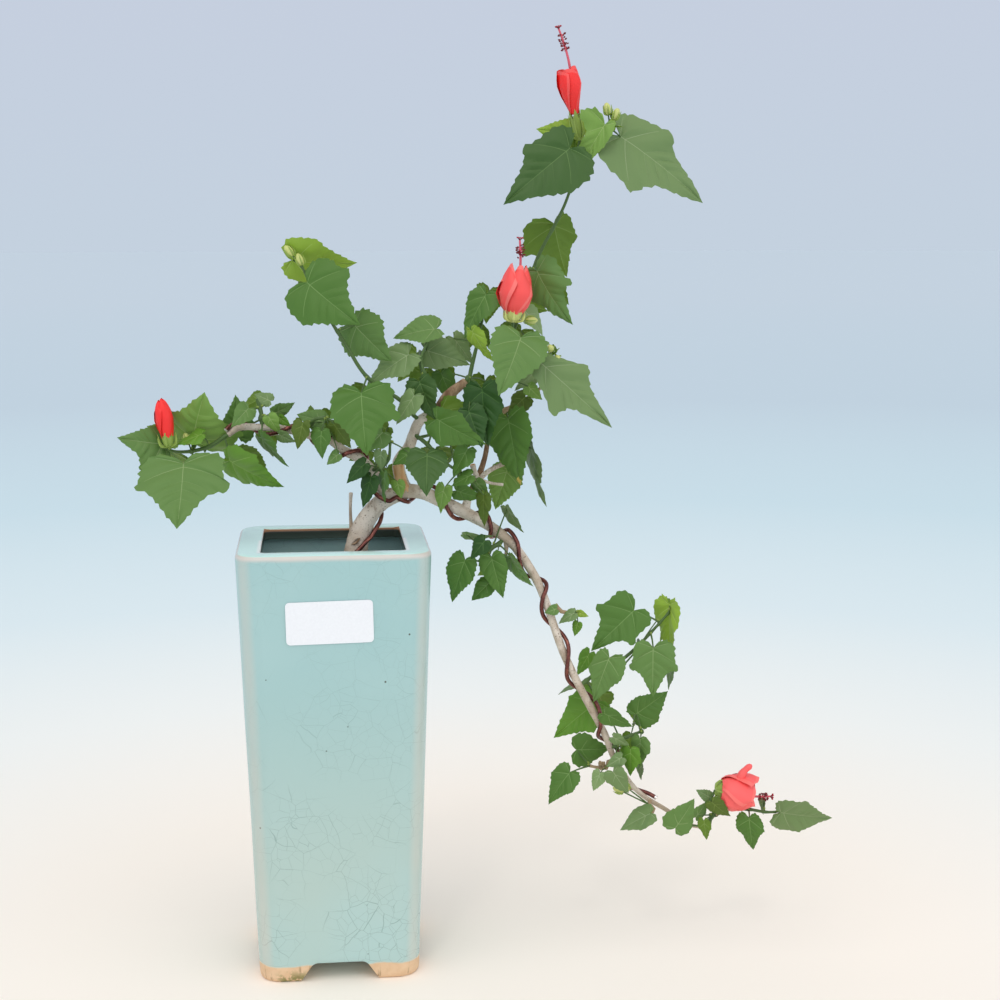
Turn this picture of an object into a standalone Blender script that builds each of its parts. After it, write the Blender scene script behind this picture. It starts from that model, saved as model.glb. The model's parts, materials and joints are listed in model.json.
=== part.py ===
"""Turk's cap shrub trained as a cascading bonsai in a tall, square, glazed pot.

The pot stands on four corner feet. The trunk leans to the right out of the soil and
forks into a left bough, a crown bough, a thin top bough and a long cascade that hangs
beside the pot. Every mass of leaves is one solid: a stem, its leaf stalks, leaves and
flowers, fused by one union.

Plant sizes are in millimetres, as (across, depth, up): across to the right and up from
the floor, both in the plant's front elevation, and depth away from its front.
"""
import itertools
import math
import random

import bmesh
import bpy
import numpy as np
from mathutils import Matrix, Vector
from mathutils.bvhtree import BVHTree

MM = 0.001
GAP = 0.3 * MM                    # clearance between pieces that touch
WELD = 0.001 * MM                 # vertices closer than this are one
SEED = 11

# ---------------------------------------------------------------- pot
POT_HEIGHT = 258 * MM
RIM_WIDTH = 113 * MM
FOOT_WIDTH = 95 * MM              # width across the feet, at the floor
CORNER_RADIUS = 14 * MM
CORNER_STEPS = 4
RIM_ROUND = 3 * MM
RIM_STEPS = 2
MOUTH_WIDTH = 83 * MM             # the opening inside the inturned lip
MOUTH_RADIUS = 4 * MM
LIP_DEPTH = 7 * MM
WALL = 8 * MM
ARCH_HEIGHT = 11.5 * MM           # the gap between two feet
ARCH_BOTTOM = 47 * MM
ARCH_TOP = 31 * MM
ARCH_BELOW = 0.1                  # how far its cutter reaches under the floor, over its height
FLOOR_TOP = 20 * MM               # the inside floor of the pot
DRAIN_RADIUS = 7 * MM
DRAIN_SIDES = 16
CUT_OVER = 2 * MM                 # how far a cutter runs past the face it opens
SOIL_LEVEL = 232 * MM

LABEL_SIZE = (50 * MM, 0.4 * MM, 25 * MM)
LABEL_HEIGHT = 219 * MM           # middle of the blank sticker
LABEL_ACROSS = -3 * MM
LABEL_TURN = math.radians(-1)

# ---------------------------------------------------------------- plant
PLANT_TURN = math.radians(-6)     # the plant's front against the pot's front

# Limbs, from the foot up: across, depth, up, radius.
TRUNK = [(12, 0, 229, 10.0), (12.6, 0, 237, 8.1), (14, 0, 250, 7.0), (16, 0, 260, 6.3),
         (20, 0, 269, 5.8), (26, 0, 277, 5.2), (34, 0, 283, 4.9), (45, 0, 287, 4.7)]
TRUNK_STUB = [(12, 2, 256, 2.0), (10.8, 4, 267, 1.1), (10.6, 4, 276, 0.9), (11, 4, 285, 1.2)]
LEFT_BOUGH = [(33, 1, 282, 3.6), (29, -1, 291, 3.3), (24, -4, 300, 3.2), (16, -6, 308, 2.9),
              (8, -6, 312, 2.7), (0, -5, 318, 2.4), (-14, -2, 321, 2.3), (-27, 0, 324, 2.2),
              (-41, 2, 325, 2.1), (-54, 2, 325, 2.0), (-61, 0, 321, 1.8)]
CROWN_BOUGH = [(44, 0, 286, 4.0), (41, 1, 295, 3.8), (40, 1, 304, 3.7), (46, 0, 313, 3.4),
               (53, -1, 329, 3.0), (63, -1, 335, 3.2), (70, 0, 344, 3.3), (80, 2, 352, 2.4)]
CROWN_STUB = [(55, -1, 329, 1.6), (57, -3, 334, 1.0), (58, -4, 338, 1.0)]
CASCADE_UPPER = [(45.4, 0, 287.1, 4.2), (54, 0, 286, 4.1), (73, 0, 277, 3.7), (85, -1, 271, 3.5),
                 (97, -2, 264, 3.1), (109, -3, 254, 2.9)]
CASCADE_STUB = [(104, -2, 257, 1.5), (104, -3, 251, 1.0), (103.5, -3, 247, 0.9)]
CASCADE_LOWER = [(109.2, -3, 253.7, 2.8), (121, -6, 236, 2.6), (129, -9, 217, 2.4),
                 (136, -10, 196, 2.4), (144, -9, 177, 2.4), (155, -6, 155, 2.3),
                 (164, -2, 137, 2.1), (170, 0, 121, 1.8), (181, 2, 104, 1.6),
                 (192, 4, 94, 1.45), (202, 4, 88, 1.3), (216, 2, 79, 1.15), (225, 0, 78, 1.0)]
TOP_BOUGH = [(79, 1, 274, 2.3), (82, 3, 284, 2.1), (87, 5, 294, 1.9), (91, 8, 305, 1.6),
             (93, 10, 316, 1.5), (97, 16, 340, 1.35), (103, 22, 363, 1.2)]
TOP_STUBS = [
    [(87, 5, 293, 1.6), (95, 5, 299, 1.4), (104, 5, 303, 1.3)],
    [(87, 5, 293, 1.2), (95, 4, 291, 0.8), (102, 4, 290, 0.9)],
    [(87, 5, 294, 1.6), (85, 4, 298, 1.5), (84, 3, 302, 1.7)],
]

# Training wire: its turns round the limbs, as (mm along the limbs, turns). A whole turn
# is at the front. The long one runs in from the left bough's end and out along the cascade.
WIRE_RADIUS = 1.3 * MM
WIRE_STEP = 3.4 * MM
WIRE_CLEAR = 0.55 * MM
WIRE_FINE = 0.25 * MM             # spacing of the sampling that WIRE_STEP thins out
WIRE_REACH = 2 * MM               # either side of a point, for the limb's direction there
TRUNK_WIRE_TURNS = [(5.2, 0.04), (22, 0.0), (35, -0.17), (44, -0.25), (56, -0.5)]
LEFT_WIRE_TURNS = [(0, 0.15), (4, 0.25), (23, 0.75), (36, 1.0), (61, 2.0), (76, 3.0), (100, 3.8)]
WIRE_FORK = [(31, -1, 288, 5.0), (35, 0, 284, 5.6), (39, 0, 284.5, 5.4)]   # across the fork
CASCADE_WIRE_TURNS = [(0, 4.0), (21, 3.25), (41, 2.75), (62, 2.0), (71, 1.28), (97, 0.74), (114, 0.0),
                      (156, -1.0), (202, -2.0), (231, -3.0), (266, -3.75)]

LIMB_STEP = 9 * MM                # spacing of the sections of limbs and stems
LIMB_ROUND = 3                    # a tube has 4 + 2 x this many sides
STEM_ROUND = 1
TWIG_ROUND = 0
STEM_RADIUS = (1.25, 0.75)        # mm, at a mass's foot and at its tips
STEM_COLLAR = 2.5 * MM            # the stretch that stands square off the limb
STALK_RADIUS = (0.75, 0.34)       # mm, at the stem and in the blade

# A leaf blade's half outline, as (half width, distance from the stalk) over its length.
LEAF_HALF = [(0.0, 0.05), (0.24, -0.08), (0.42, 0.15), (0.32, 0.52), (0.0, 1.0)]
LEAF_RIB = 0.40                   # how far along its rib a blade is thickest
LEAF_THICKNESS = 0.032            # over its length, there
LEAF_FOLD = 0.10                  # how far the blade's sides lift, over half its width
LEAF_DROOP = 0.10                 # how far its tip falls, over its length
NUDGES = (0, -3, 3, -6, 6, -10, 10, -14, 14, -19, 19, 24)   # mm of depth tried for a leaf
TWISTS = (0, 12, -12, 24)         # degrees of further turn tried at each depth
STALK_SUNK = 0.28                 # how far a stalk reaches into its blade, over its length
BACK_SHARE = 0.7                  # leaves that have another one behind them
BACK_MIN_LENGTH = 16              # mm
BACK_DEPTH = (20, 56)             # mm further from the front
BACK_SHIFT = (-3, 3)              # mm
BACK_HEADING = (-30, 30)          # degrees
BACK_LEAN = (-35, 10)             # degrees, beside the front leaf's lean turned round
BACK_LEAN_SHARE = -0.6
BACK_TURN = (145, 215)            # degrees
BACK_SIZE = (0.72, 0.92)          # over the front leaf's length
BACK_TWIG_MIN = 2                 # leaves behind that call for a twig to carry them
BACK_TWIG_SHORT = 6               # mm, how far that twig stops before their middle
BACK_TWIG_RISE = 0.12             # how high it arches, over its length
BACK_TWIG_TAPER = 0.9             # its radius at its root, over the stem's


# A foliage mass. "stems" are knots (across, depth, up): the first grows from the limb, the
# others from it. "leaves" lists blades in growth order, each as the place of its stalk end
# (across, up), heading, length, lean towards the front, turn about its own rib, and depth;
# "alone" numbers those that never have another one behind them. A flower has a foot,
# heading, length, girth and form; a bud has a centre.
MASSES = {
    "top_foliage": dict(
        limb="top_bough",
        stems=[[(106, 23, 374), (113, 24, 393), (123, 26, 424), (132, 26, 441), (142, 26, 463),
                (148, 26, 494)],
               [(145, 26, 472), (158, 24, 490), (166, 22, 500)]],
        leaves=[(152, 496, 172, 30, 0, 20, 32), (143, 489, -141, 53, 18, 12, 6),
                (163, 503, -122, 35, 5, 8, 14), (170, 497, -33, 65, 8, -28, 28),
                (133, 446, -80, 34, -15, 165, 36), (122, 418, -65, 39, 18, 30, 10),
                (115, 393, -45, 19, 0, -45, 20)],
        alone=(0,),
        flowers=[(148, 26, 493, 101, 66, 0.55, "open")],
        buds=[(164, 20, 511), (169, 20, 508)]),
    "centre_flower_spray": dict(
        limb="top_bough",
        stems=[[(103, 6, 352), (107, 3, 370), (108, 0, 388)]],
        leaves=[(113, 380, -110, 40, 40, 5, -14), (125, 359, -146, 21, 0, 50, 12),
                (117, 350, -49, 12, 0, 20, -6)],
        flowers=[(108, 0, 387, 85, 48, 1.0, "open")],
        buds=[(119, 3, 388)]),
    "crown_right_foliage": dict(
        limb="top_bough",
        stems=[[(104, 15, 334), (115, 14, 340), (126, 13, 349), (131, 12, 366)]],
        leaves=[(123, 365, -41, 58, 5, -48, 2), (116, 343, -138, 16, 10, 20, 4),
                (105, 332, -80, 42, 8, 35, -4), (119, 313, -82, 39, 0, 76, 10),
                (105, 298, -108, 26, 10, 0, 18)],
        alone=(0, 3),
        flowers=[],
        buds=[(130, -6, 372), (134, -6, 366)]),
    "crown_foliage": dict(
        limb="crown_bough",
        stems=[[(84, 4, 362), (87, 5, 374), (90, 5, 388)]],
        leaves=[(93, 404, -122, 30, 10, 38, 8), (84, 383, -65, 23, 0, 55, -6),
                (90, 351, -87, 35, 10, 28, -20), (72, 377, -52, 20, 0, -45, 24),
                (65, 357, -69, 20, 0, 30, 14), (82, 338, -70, 24, 20, -20, -24)],
        flowers=[],
        buds=[]),
    "crown_left_foliage": dict(
        limb="crown_bough",
        stems=[[(58, -7, 346), (56, -7, 358), (54, -5, 366), (58, -3, 376)]],
        leaves=[(64, 383, -176, 27, 5, 50, 4), (48, 369, -149, 31, 8, 40, -2),
                (55, 370, -16, 29, 5, -25, 14), (53, 354, -71, 26, 5, 20, -6),
                (51, 346, -124, 21, 5, 48, -16)],
        flowers=[],
        buds=[]),
    "upper_left_foliage": dict(
        limb="crown_bough",
        stems=[[(42, -10, 342), (23, -14, 356), (11, -16, 375), (2, -18, 390), (-8, -18, 407),
                (-12, -16, 417)]],
        leaves=[(-22, 424, -10, 39, 0, 52, -12), (-11, 412, -39, 43, 28, 0, -24),
                (15, 387, -48, 31, 8, 20, -10), (20, 349, -86, 39, 25, 0, -22)],
        alone=(2,),
        flowers=[],
        buds=[(-21, -15, 429), (-15, -15, 424)]),
    "crown_low_foliage": dict(
        limb="crown_bough",
        stems=[[(58, -13, 316), (68, -15, 306), (76, -13, 300)]],
        leaves=[(63, 334, -33, 33, 5, 42, -25), (82, 315, -121, 20, 0, 25, -15),
                (58, 313, -89, 29, 45, 0, -24), (68, 292, -106, 17, 0, 30, -16),
                (74, 289, -22, 17, 0, 35, -11), (84, 299, -156, 14, 0, 45, -13),
                (86, 294, -52, 12, 0, 20, -9), (91, 288, -94, 20, 0, 52, -13)],
        flowers=[],
        buds=[]),
    "inner_left_foliage": dict(
        limb="left_bough",
        stems=[[(30, -12, 302), (35, -14, 308), (36, -14, 318)]],
        leaves=[(32, 324, -135, 17, 25, 0, -14), (31, 313, -95, 12, 0, 30, -18),
                (22, 306, -139, 17, 0, 35, -18), (25, 298, -107, 20, 0, 40, -16),
                (33, 301, -96, 19, 0, 55, -20), (40, 295, -79, 11, 0, 20, -16),
                (48, 312, -147, 13, 0, 30, -18)],
        flowers=[],
        buds=[]),
    "left_middle_foliage": dict(
        limb="left_bough",
        stems=[[(-11, -6, 328), (-8, -9, 331), (-2, -10, 332)]],
        leaves=[(-4, 328, 160, 17, 0, 40, -6), (-4, 325, -97, 17, 5, 25, -14),
                (3, 329, -57, 18, 5, 30, -14), (-15, 330, -103, 17, 5, 25, -12),
                (6, 311, -142, 10, 0, 30, -14)],
        flowers=[],
        buds=[]),
    "left_top_foliage": dict(
        limb="left_bough",
        stems=[[(-41, 2, 331), (-42, 2, 336), (-44, 2, 342)]],
        leaves=[(-58, 317, 88, 26, 0, 35, 16), (-48, 337, -133, 18, 50, 0, -2),
                (-36, 333, -62, 13, 0, 20, -8), (-34, 333, 25, 14, 0, 25, 4),
                (-30, 332, -43, 9, 0, 20, -6), (-36, 340, 152, 11, 0, 30, 6),
                (-41, 321, -52, 25, 5, 62, -8), (-30, 322, -29, 11, 0, 30, -8)],
        flowers=[],
        buds=[]),
    "left_end_foliage": dict(
        limb="left_bough",
        stems=[[(-72, 0, 314), (-83, 0, 311), (-92, -2, 311), (-96, -6, 313)]],
        leaves=[(-98, 315, 169, 29, 28, 0, 0), (-85, 307, -87, 45, 42, 0, -16),
                (-84, 316, 71, 38, 40, 0, 10), (-75, 322, -160, 17, 0, 60, 0),
                (-61, 307, -34, 37, 5, 45, -5)],
        alone=(2,),
        flowers=[(-95, -6, 314, 99, 30, 1.0, "closed")],
        buds=[(-86, 3, 318)]),
    "cascade_inner_foliage": dict(
        limb="cascade_bough_upper",
        stems=[[(96, -6, 254), (93, -8, 250), (90, -8, 245)]],
        leaves=[(79, 263, -14, 18, 0, 62, -13), (92, 261, -131, 15, 0, 30, -16),
                (80, 248, -111, 28, 5, 35, -10), (95, 250, -77, 27, 5, 25, -13),
                (94, 232, -135, 16, 0, 20, -4), (106, 249, -61, 23, 5, 58, -10),
                (104, 278, -63, 19, 0, 62, -6)],
        alone=(2, 3),
        flowers=[],
        buds=[]),
    "cascade_mid_foliage": dict(
        limb="cascade_bough_lower",
        stems=[[(137, -8, 215), (146, -7, 214)]],
        leaves=[(145, 215, -155, 12, 0, 20, -12), (147, 208, -105, 9, 0, 25, -6),
                (147, 214, -27, 7, 0, 25, -5), (134, 218, -161, 8, 0, 20, -14)],
        flowers=[],
        buds=[]),
    "cascade_side_foliage": dict(
        limb="cascade_bough_lower",
        stems=[[(156, -6, 175), (176, -3, 186), (191, 0, 200), (202, 2, 212)]],
        leaves=[(182, 215, -138, 37, 15, 12, 0), (166, 189, -111, 31, 0, 5, -12),
                (155, 187, -120, 17, 0, 40, 5), (192, 194, -91, 31, 10, 5, -8),
                (203, 218, -93, 34, 0, 58, 4), (206, 205, -121, 16, 0, 150, 10),
                (204, 177, -98, 14, 0, 72, 5),
                (161, 155, -142, 37, 0, 25, 12), (146, 166, -159, 12, 0, 82, 6)],
        alone=(2,),
        flowers=[],
        buds=[]),
    "cascade_low_left_foliage": dict(
        limb="cascade_bough_lower",
        stems=[[(165, 3, 115), (159, 4, 115), (155, 4, 116)]],
        leaves=[(146, 125, 0, 22, 0, 10, 8), (143, 117, -129, 25, 5, 30, -10),
                (161, 115, -110, 13, 0, 30, -6)],
        alone=(0, 1),
        flowers=[],
        buds=[]),
    "cascade_low_right_foliage": dict(
        limb="cascade_bough_lower",
        stems=[[(173, -3, 134), (180, -2, 137), (186, -1, 139)]],
        leaves=[(162, 154, -28, 20, 0, 40, -10), (182, 148, 34, 25, 0, 12, 4),
                (168, 138, -30, 12, 0, 20, -9), (185, 137, -93, 19, 0, 40, -5),
                (179, 131, -92, 18, 0, 45, -9), (174, 126, -148, 12, 0, 30, -11),
                (168, 118, -58, 18, 0, 20, -13), (186, 118, -93, 12, 0, 65, 6)],
        alone=(1,),
        flowers=[],
        buds=[]),
    "cascade_under_foliage": dict(
        limb="cascade_bough_lower",
        stems=[[(194, -1, 90), (192, -3, 87)]],
        leaves=[(192, 90, -154, 22, 0, 60, -6)],
        alone=(0,),
        flowers=[],
        buds=[(176, -6, 106), (172, -6, 104)]),
    "cascade_tip_foliage": dict(
        limb="cascade_bough_lower",
        stems=[[(230, -1, 86), (240, -2, 90), (252, -2, 90), (262, -1, 88), (269, -1, 88)],
               [(232, -2, 87), (228, -4, 94), (231, -4, 103)]],
        leaves=[(206, 80, 56, 22, 5, 8, -9), (219, 86, 51, 13, 0, 30, -5),
                (228, 98, -44, 16, 0, 20, -11), (224, 86, -84, 14, 0, 30, -6),
                (251, 89, -86, 23, 0, 30, -12), (270, 89, -10, 34, 0, 32, -4),
                (261, 96, -89, 12, 0, 72, 5), (229, 96, 147, 10, 0, 25, 2)],
        alone=(0, 2, 4, 5),
        flowers=[(231, -4, 103, -7, 34, 1.9, "open")],
        buds=[]),
}


# ---------------------------------------------------------------- scene and materials
def clear_scene():
    for obj in list(bpy.data.objects):
        bpy.data.objects.remove(obj, do_unlink=True)


def material(name, colour, roughness, metallic=0.0):
    mat = bpy.data.materials.new(name)
    mat.use_nodes = True
    shader = mat.node_tree.nodes["Principled BSDF"]
    shader.inputs["Base Color"].default_value = (*colour, 1.0)
    shader.inputs["Roughness"].default_value = roughness
    shader.inputs["Metallic"].default_value = metallic
    mat.diffuse_color = (*colour, 1.0)
    return mat


def add_object(name, mesh, collection, mat=None):
    obj = bpy.data.objects.new(name, mesh)
    collection.objects.link(obj)
    if mat:
        mesh.materials.append(mat)
    return obj


def mesh_from(name, bm):
    mesh = bpy.data.meshes.new(name)
    bmesh.ops.recalc_face_normals(bm, faces=bm.faces)
    bm.to_mesh(mesh)
    bm.free()
    return mesh


def data_mesh(name, verts, faces):
    bm = bmesh.new()
    corners = [bm.verts.new(vert) for vert in verts]
    for face in faces:
        bm.faces.new([corners[k] for k in face])
    return mesh_from(name, bm)


def evaluated_mesh(obj):
    depsgraph = bpy.context.evaluated_depsgraph_get()
    return bpy.data.meshes.new_from_object(obj.evaluated_get(depsgraph))


def one_body(mesh):
    """Keep the largest connected piece, so loose scraps and sealed hollows go."""
    bm = bmesh.new()
    bm.from_mesh(mesh)
    bmesh.ops.remove_doubles(bm, verts=bm.verts, dist=WELD)
    bmesh.ops.dissolve_degenerate(bm, edges=bm.edges, dist=WELD)
    bmesh.ops.triangulate(bm, faces=bm.faces)
    unseen = set(bm.verts)
    bodies = []
    while unseen:
        stack = [unseen.pop()]
        body = set(stack)
        while stack:
            vert = stack.pop()
            for edge in vert.link_edges:
                other = edge.other_vert(vert)
                if other in unseen:
                    unseen.discard(other)
                    body.add(other)
                    stack.append(other)
        bodies.append(body)
    bodies.sort(key=len)
    scraps = [vert for body in bodies[:-1] for vert in body]
    bmesh.ops.delete(bm, geom=scraps, context="VERTS")
    closed = all(len(edge.link_faces) == 2 for edge in bm.edges)
    bmesh.ops.recalc_face_normals(bm, faces=bm.faces)
    bm.to_mesh(mesh)
    bm.free()
    return closed


def combine(obj, operands, operation):
    """Apply one Boolean of a collection of meshes to the object, and remove them."""
    tools = bpy.data.collections.new("operands")
    bpy.context.scene.collection.children.link(tools)
    for index, (verts, faces) in enumerate(operands):
        add_object(f"operand_{index}", data_mesh(f"operand_{index}", verts, faces), tools)
    modifier = obj.modifiers.new("combine", "BOOLEAN")
    modifier.operation = operation
    modifier.operand_type = "COLLECTION"
    modifier.collection = tools
    for solver in ("EXACT", "MANIFOLD"):
        modifier.solver = solver
        mesh = evaluated_mesh(obj)
        if one_body(mesh):
            break
        print(f"{obj.name}: {solver} left it open")
    mats = list(obj.data.materials)
    mesh.materials.clear()
    for mat in mats:
        mesh.materials.append(mat)
    obj.modifiers.clear()
    obj.data = mesh
    for tool in list(tools.objects):
        bpy.data.objects.remove(tool, do_unlink=True)
    bpy.data.collections.remove(tools)


# ---------------------------------------------------------------- plant geometry
def place(across, depth, up):
    """A point of the plant's front elevation, in the pot's axes."""
    point = Vector((across, depth, up)) * MM
    return Matrix.Rotation(PLANT_TURN, 3, "Z") @ point


def plant_direction(across, depth, up):
    return (Matrix.Rotation(PLANT_TURN, 3, "Z") @ Vector((across, depth, up))).normalized()


TO_FRONT = plant_direction(0, -1, 0)


def smooth_path(knots, step):
    """Points and radii about a step apart on a Catmull-Rom curve through the knots."""
    rows = np.array([[*place(*knot[:3]), knot[3] * MM] for knot in knots])
    padded = np.vstack([2 * rows[0] - rows[1], rows, 2 * rows[-1] - rows[-2]])
    out = []
    for i in range(1, len(padded) - 2):
        p0, p1, p2, p3 = padded[i - 1:i + 3]
        count = max(1, round(np.linalg.norm((p2 - p1)[:3]) / step))
        for k in range(count):
            t = k / count
            out.append(0.5 * (2 * p1 + (p2 - p0) * t + (2 * p0 - 5 * p1 + 4 * p2 - p3) * t ** 2
                              + (3 * p1 - p0 - 3 * p2 + p3) * t ** 3))
    out.append(padded[-2])
    return np.array(out)


def mesh_data(bm):
    """Vertices and faces of a closed bmesh, which is then freed."""
    bmesh.ops.recalc_face_normals(bm, faces=bm.faces)
    verts = [vert.co.copy() for vert in bm.verts]
    faces = [[vert.index for vert in face.verts] for face in bm.faces]
    bm.free()
    return verts, faces


def tube_data(path, resolution, grow=0.0):
    """Closed tube along the path, as vertices and faces; grow adds a margin all round."""
    curve = bpy.data.curves.new("tube", "CURVE")
    curve.dimensions = "3D"
    curve.bevel_depth = 1.0
    curve.bevel_resolution = resolution
    curve.use_fill_caps = True
    spline = curve.splines.new("POLY")
    points = np.array(path)
    for end, inner in ((0, 1), (-1, -2)):
        outward = points[end, :3] - points[inner, :3]
        points[end, :3] += grow * outward / np.linalg.norm(outward)
    spline.points.add(len(points) - 1)
    for point, (x, y, z, radius) in zip(spline.points, points):
        point.co = (x, y, z, 1.0)
        point.radius = radius + grow
    obj = bpy.data.objects.new("tube", curve)
    bpy.context.scene.collection.objects.link(obj)
    mesh = evaluated_mesh(obj)
    bpy.data.objects.remove(obj, do_unlink=True)
    bpy.data.curves.remove(curve)
    bm = bmesh.new()
    bm.from_mesh(mesh)
    bpy.data.meshes.remove(mesh)
    bmesh.ops.remove_doubles(bm, verts=bm.verts, dist=0.1 * WELD)
    bm.verts.index_update()
    return mesh_data(bm)


class Space:
    """The solids placed so far, to keep new twigs and leaves clear of them."""

    def __init__(self):
        self.solids = []

    @staticmethod
    def _box(verts):
        rows = np.array([tuple(v) for v in verts])
        return rows.min(axis=0), rows.max(axis=0)

    def add(self, owner, verts, faces):
        self.solids.append((owner, BVHTree.FromPolygons(verts, faces), self._box(verts)))

    def hits(self, verts, faces, ignore=()):
        tree = BVHTree.FromPolygons(verts, faces)
        low, high = self._box(verts)
        for owner, other, (other_low, other_high) in self.solids:
            if owner in ignore or np.any(low > other_high) or np.any(high < other_low):
                continue
            if tree.overlap(other):
                return owner
        return None


def blade_frame(heading, lean, turn):
    """Axes of a blade: along its rib, across it, and out of its upper face."""
    heading, lean, turn = (math.radians(value) for value in (heading, lean, turn))
    flat = plant_direction(math.cos(heading), 0, math.sin(heading))
    along = flat * math.cos(lean) + TO_FRONT * math.sin(lean)
    normal = TO_FRONT * math.cos(lean) - flat * math.sin(lean)
    normal = Matrix.Rotation(turn, 3, along) @ normal
    return along, normal.cross(along), normal


def leaf_data(foot, frame, length, grow=0.0):
    """A lens-shaped blade that is folded along its rib and droops towards its tip."""
    along, across, normal = frame
    size = length * MM

    def point(side, distance, lift):
        drop = -LEAF_DROOP * distance ** 2 + LEAF_FOLD * abs(side)
        return foot + size * (along * distance + across * side + normal * drop) + normal * lift

    thick = 0.5 * LEAF_THICKNESS * size + grow
    spread = 1 + grow / (0.4 * size)
    right = [point(side * spread, distance * spread, 0) for side, distance in LEAF_HALF]
    left = [point(-side * spread, distance * spread, 0) for side, distance in LEAF_HALF[1:-1]]
    edge = right + left[::-1]
    count = len(edge)
    faces = []
    for k in range(count):
        faces.append((k, (k + 1) % count, count))
        faces.append(((k + 1) % count, k, count + 1))
    return edge + [point(0, LEAF_RIB, thick), point(0, LEAF_RIB, -thick)], faces


def stalk_data(start, end, grow=0.0):
    """A three-sided leaf stalk between two points, thin enough at its end to sink into a blade."""
    axis = end - start
    thick, thin = (radius * MM + grow for radius in STALK_RADIUS)
    bm = bmesh.new()
    bmesh.ops.create_cone(bm, cap_ends=True, segments=3, radius1=thick, radius2=thin,
                          depth=axis.length)
    turn = axis.to_track_quat("Z", "Y").to_matrix().to_4x4()
    bmesh.ops.transform(bm, matrix=Matrix.Translation((start + end) / 2) @ turn, verts=bm.verts)
    return mesh_data(bm)


# A flower's outline along its axis, over its length: distance, radius.
FLOWER_PROFILES = {
    "open": [(0.0, 0.022), (0.05, 0.10), (0.22, 0.125), (0.26, 0.155), (0.45, 0.19),
             (0.62, 0.13), (0.66, 0.03), (0.84, 0.025), (0.87, 0.055), (0.99, 0.045)],
    "closed": [(0.0, 0.022), (0.05, 0.09), (0.20, 0.12), (0.35, 0.15), (0.62, 0.17),
               (0.85, 0.13), (0.99, 0.04)],
}
BUD_RADIUS = 2.4 * MM


def flower_data(across, depth, up, heading, length, girth, form):
    """A spindle-shaped bloom with its calyx below, and its column where it is open."""
    foot = place(across, depth, up)
    heading = math.radians(heading)
    axis = plant_direction(math.cos(heading), 0, math.sin(heading))
    path = [[*(foot + axis * (distance * length * MM)), radius * girth * length * MM]
            for distance, radius in FLOWER_PROFILES[form]]
    return tube_data(np.array(path), STEM_ROUND)


def bud_data(across, depth, up):
    bm = bmesh.new()
    bmesh.ops.create_icosphere(bm, subdivisions=1, radius=BUD_RADIUS,
                               matrix=Matrix.Translation(place(across, depth, up)))
    return mesh_data(bm)


def nearest_nodes(path, point, count):
    distances = np.linalg.norm(path[:, :3] - np.array(point), axis=1)
    return np.argsort(distances)[:count]


def nearest_on(path, point):
    return int(nearest_nodes(path, point, 1)[0])


def stem_foot(limb_path, toward):
    """Where a mass's stem begins, just off its limb's side or tip, and which way it leaves."""
    index = nearest_on(limb_path, toward)
    centre = Vector(limb_path[index, :3])
    if index >= len(limb_path) - 1:
        axis = (centre - Vector(limb_path[-2, :3])).normalized()
        return centre + axis * GAP, axis
    axis = Vector(limb_path[index + 1, :3] - limb_path[index - 1, :3]).normalized()
    out = toward - centre
    out = (out - axis * out.dot(axis)).normalized()
    return centre + out * (limb_path[index, 3] + GAP), out


def stem_path(knots, foot=None):
    """A stem or twig through its knots; a stem's foot first stands square off its limb."""
    thick, thin = STEM_RADIUS
    rows = [(*knot, thick + (thin - thick) * i / (len(knots) - 1)) for i, knot in enumerate(knots)]
    path = smooth_path(rows, LIMB_STEP)
    if foot is not None:
        start, out = foot
        path = np.vstack([[*start, thick * MM], [*(start + out * STEM_COLLAR), thick * MM], path])
    return path


def back_leaves(leaves, alone, rng):
    """Leaves behind the front ones, smaller and turned to the back."""
    behind = []
    for index, (across, up, heading, length, lean, _turn, depth) in enumerate(leaves):
        if length < BACK_MIN_LENGTH or rng.random() > BACK_SHARE:
            continue
        leaf = (across + rng.uniform(*BACK_SHIFT), up + rng.uniform(*BACK_SHIFT),
                heading + rng.uniform(*BACK_HEADING), length * rng.uniform(*BACK_SIZE),
                BACK_LEAN_SHARE * lean + rng.uniform(*BACK_LEAN),
                rng.uniform(*BACK_TURN), depth + rng.uniform(*BACK_DEPTH))
        if index not in alone:
            behind.append(leaf)
    return behind


def grow_stems(name, spec, limb_path, space):
    """A mass's stem and side twigs, with the flowers and buds that they end in."""
    main = stem_path(spec["stems"][0], stem_foot(limb_path, place(*spec["stems"][0][0])))
    hit = space.hits(*tube_data(main[1:], STEM_ROUND, GAP))
    if hit:
        print(f"{name}: stem meets {hit}")
    paths = [main] + [stem_path(knots) for knots in spec["stems"][1:]]
    nodes = np.vstack(paths)
    solids = [tube_data(path, STEM_ROUND) for path in paths]
    for flower in spec["flowers"]:
        solids.append(flower_data(*flower))
    for bud in spec["buds"]:
        centre = place(*bud)
        root = Vector(nodes[nearest_on(nodes, centre), :3])
        if (centre - root).length > BUD_RADIUS:
            solids.append(stalk_data(root, centre))
        solids.append(bud_data(*bud))
    for verts, faces in solids:
        hit = space.hits(verts, faces, ignore=(name,))
        if hit:
            print(f"{name}: twig or flower meets {hit}")
        space.add(name, verts, faces)
    return np.vstack([path[1:] for path in paths]), solids


def own_parts(name):
    """The names a mass's twigs, blades and stalks go by in the space."""
    return name, f"{name}_leaf", f"{name}_stalk"


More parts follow.
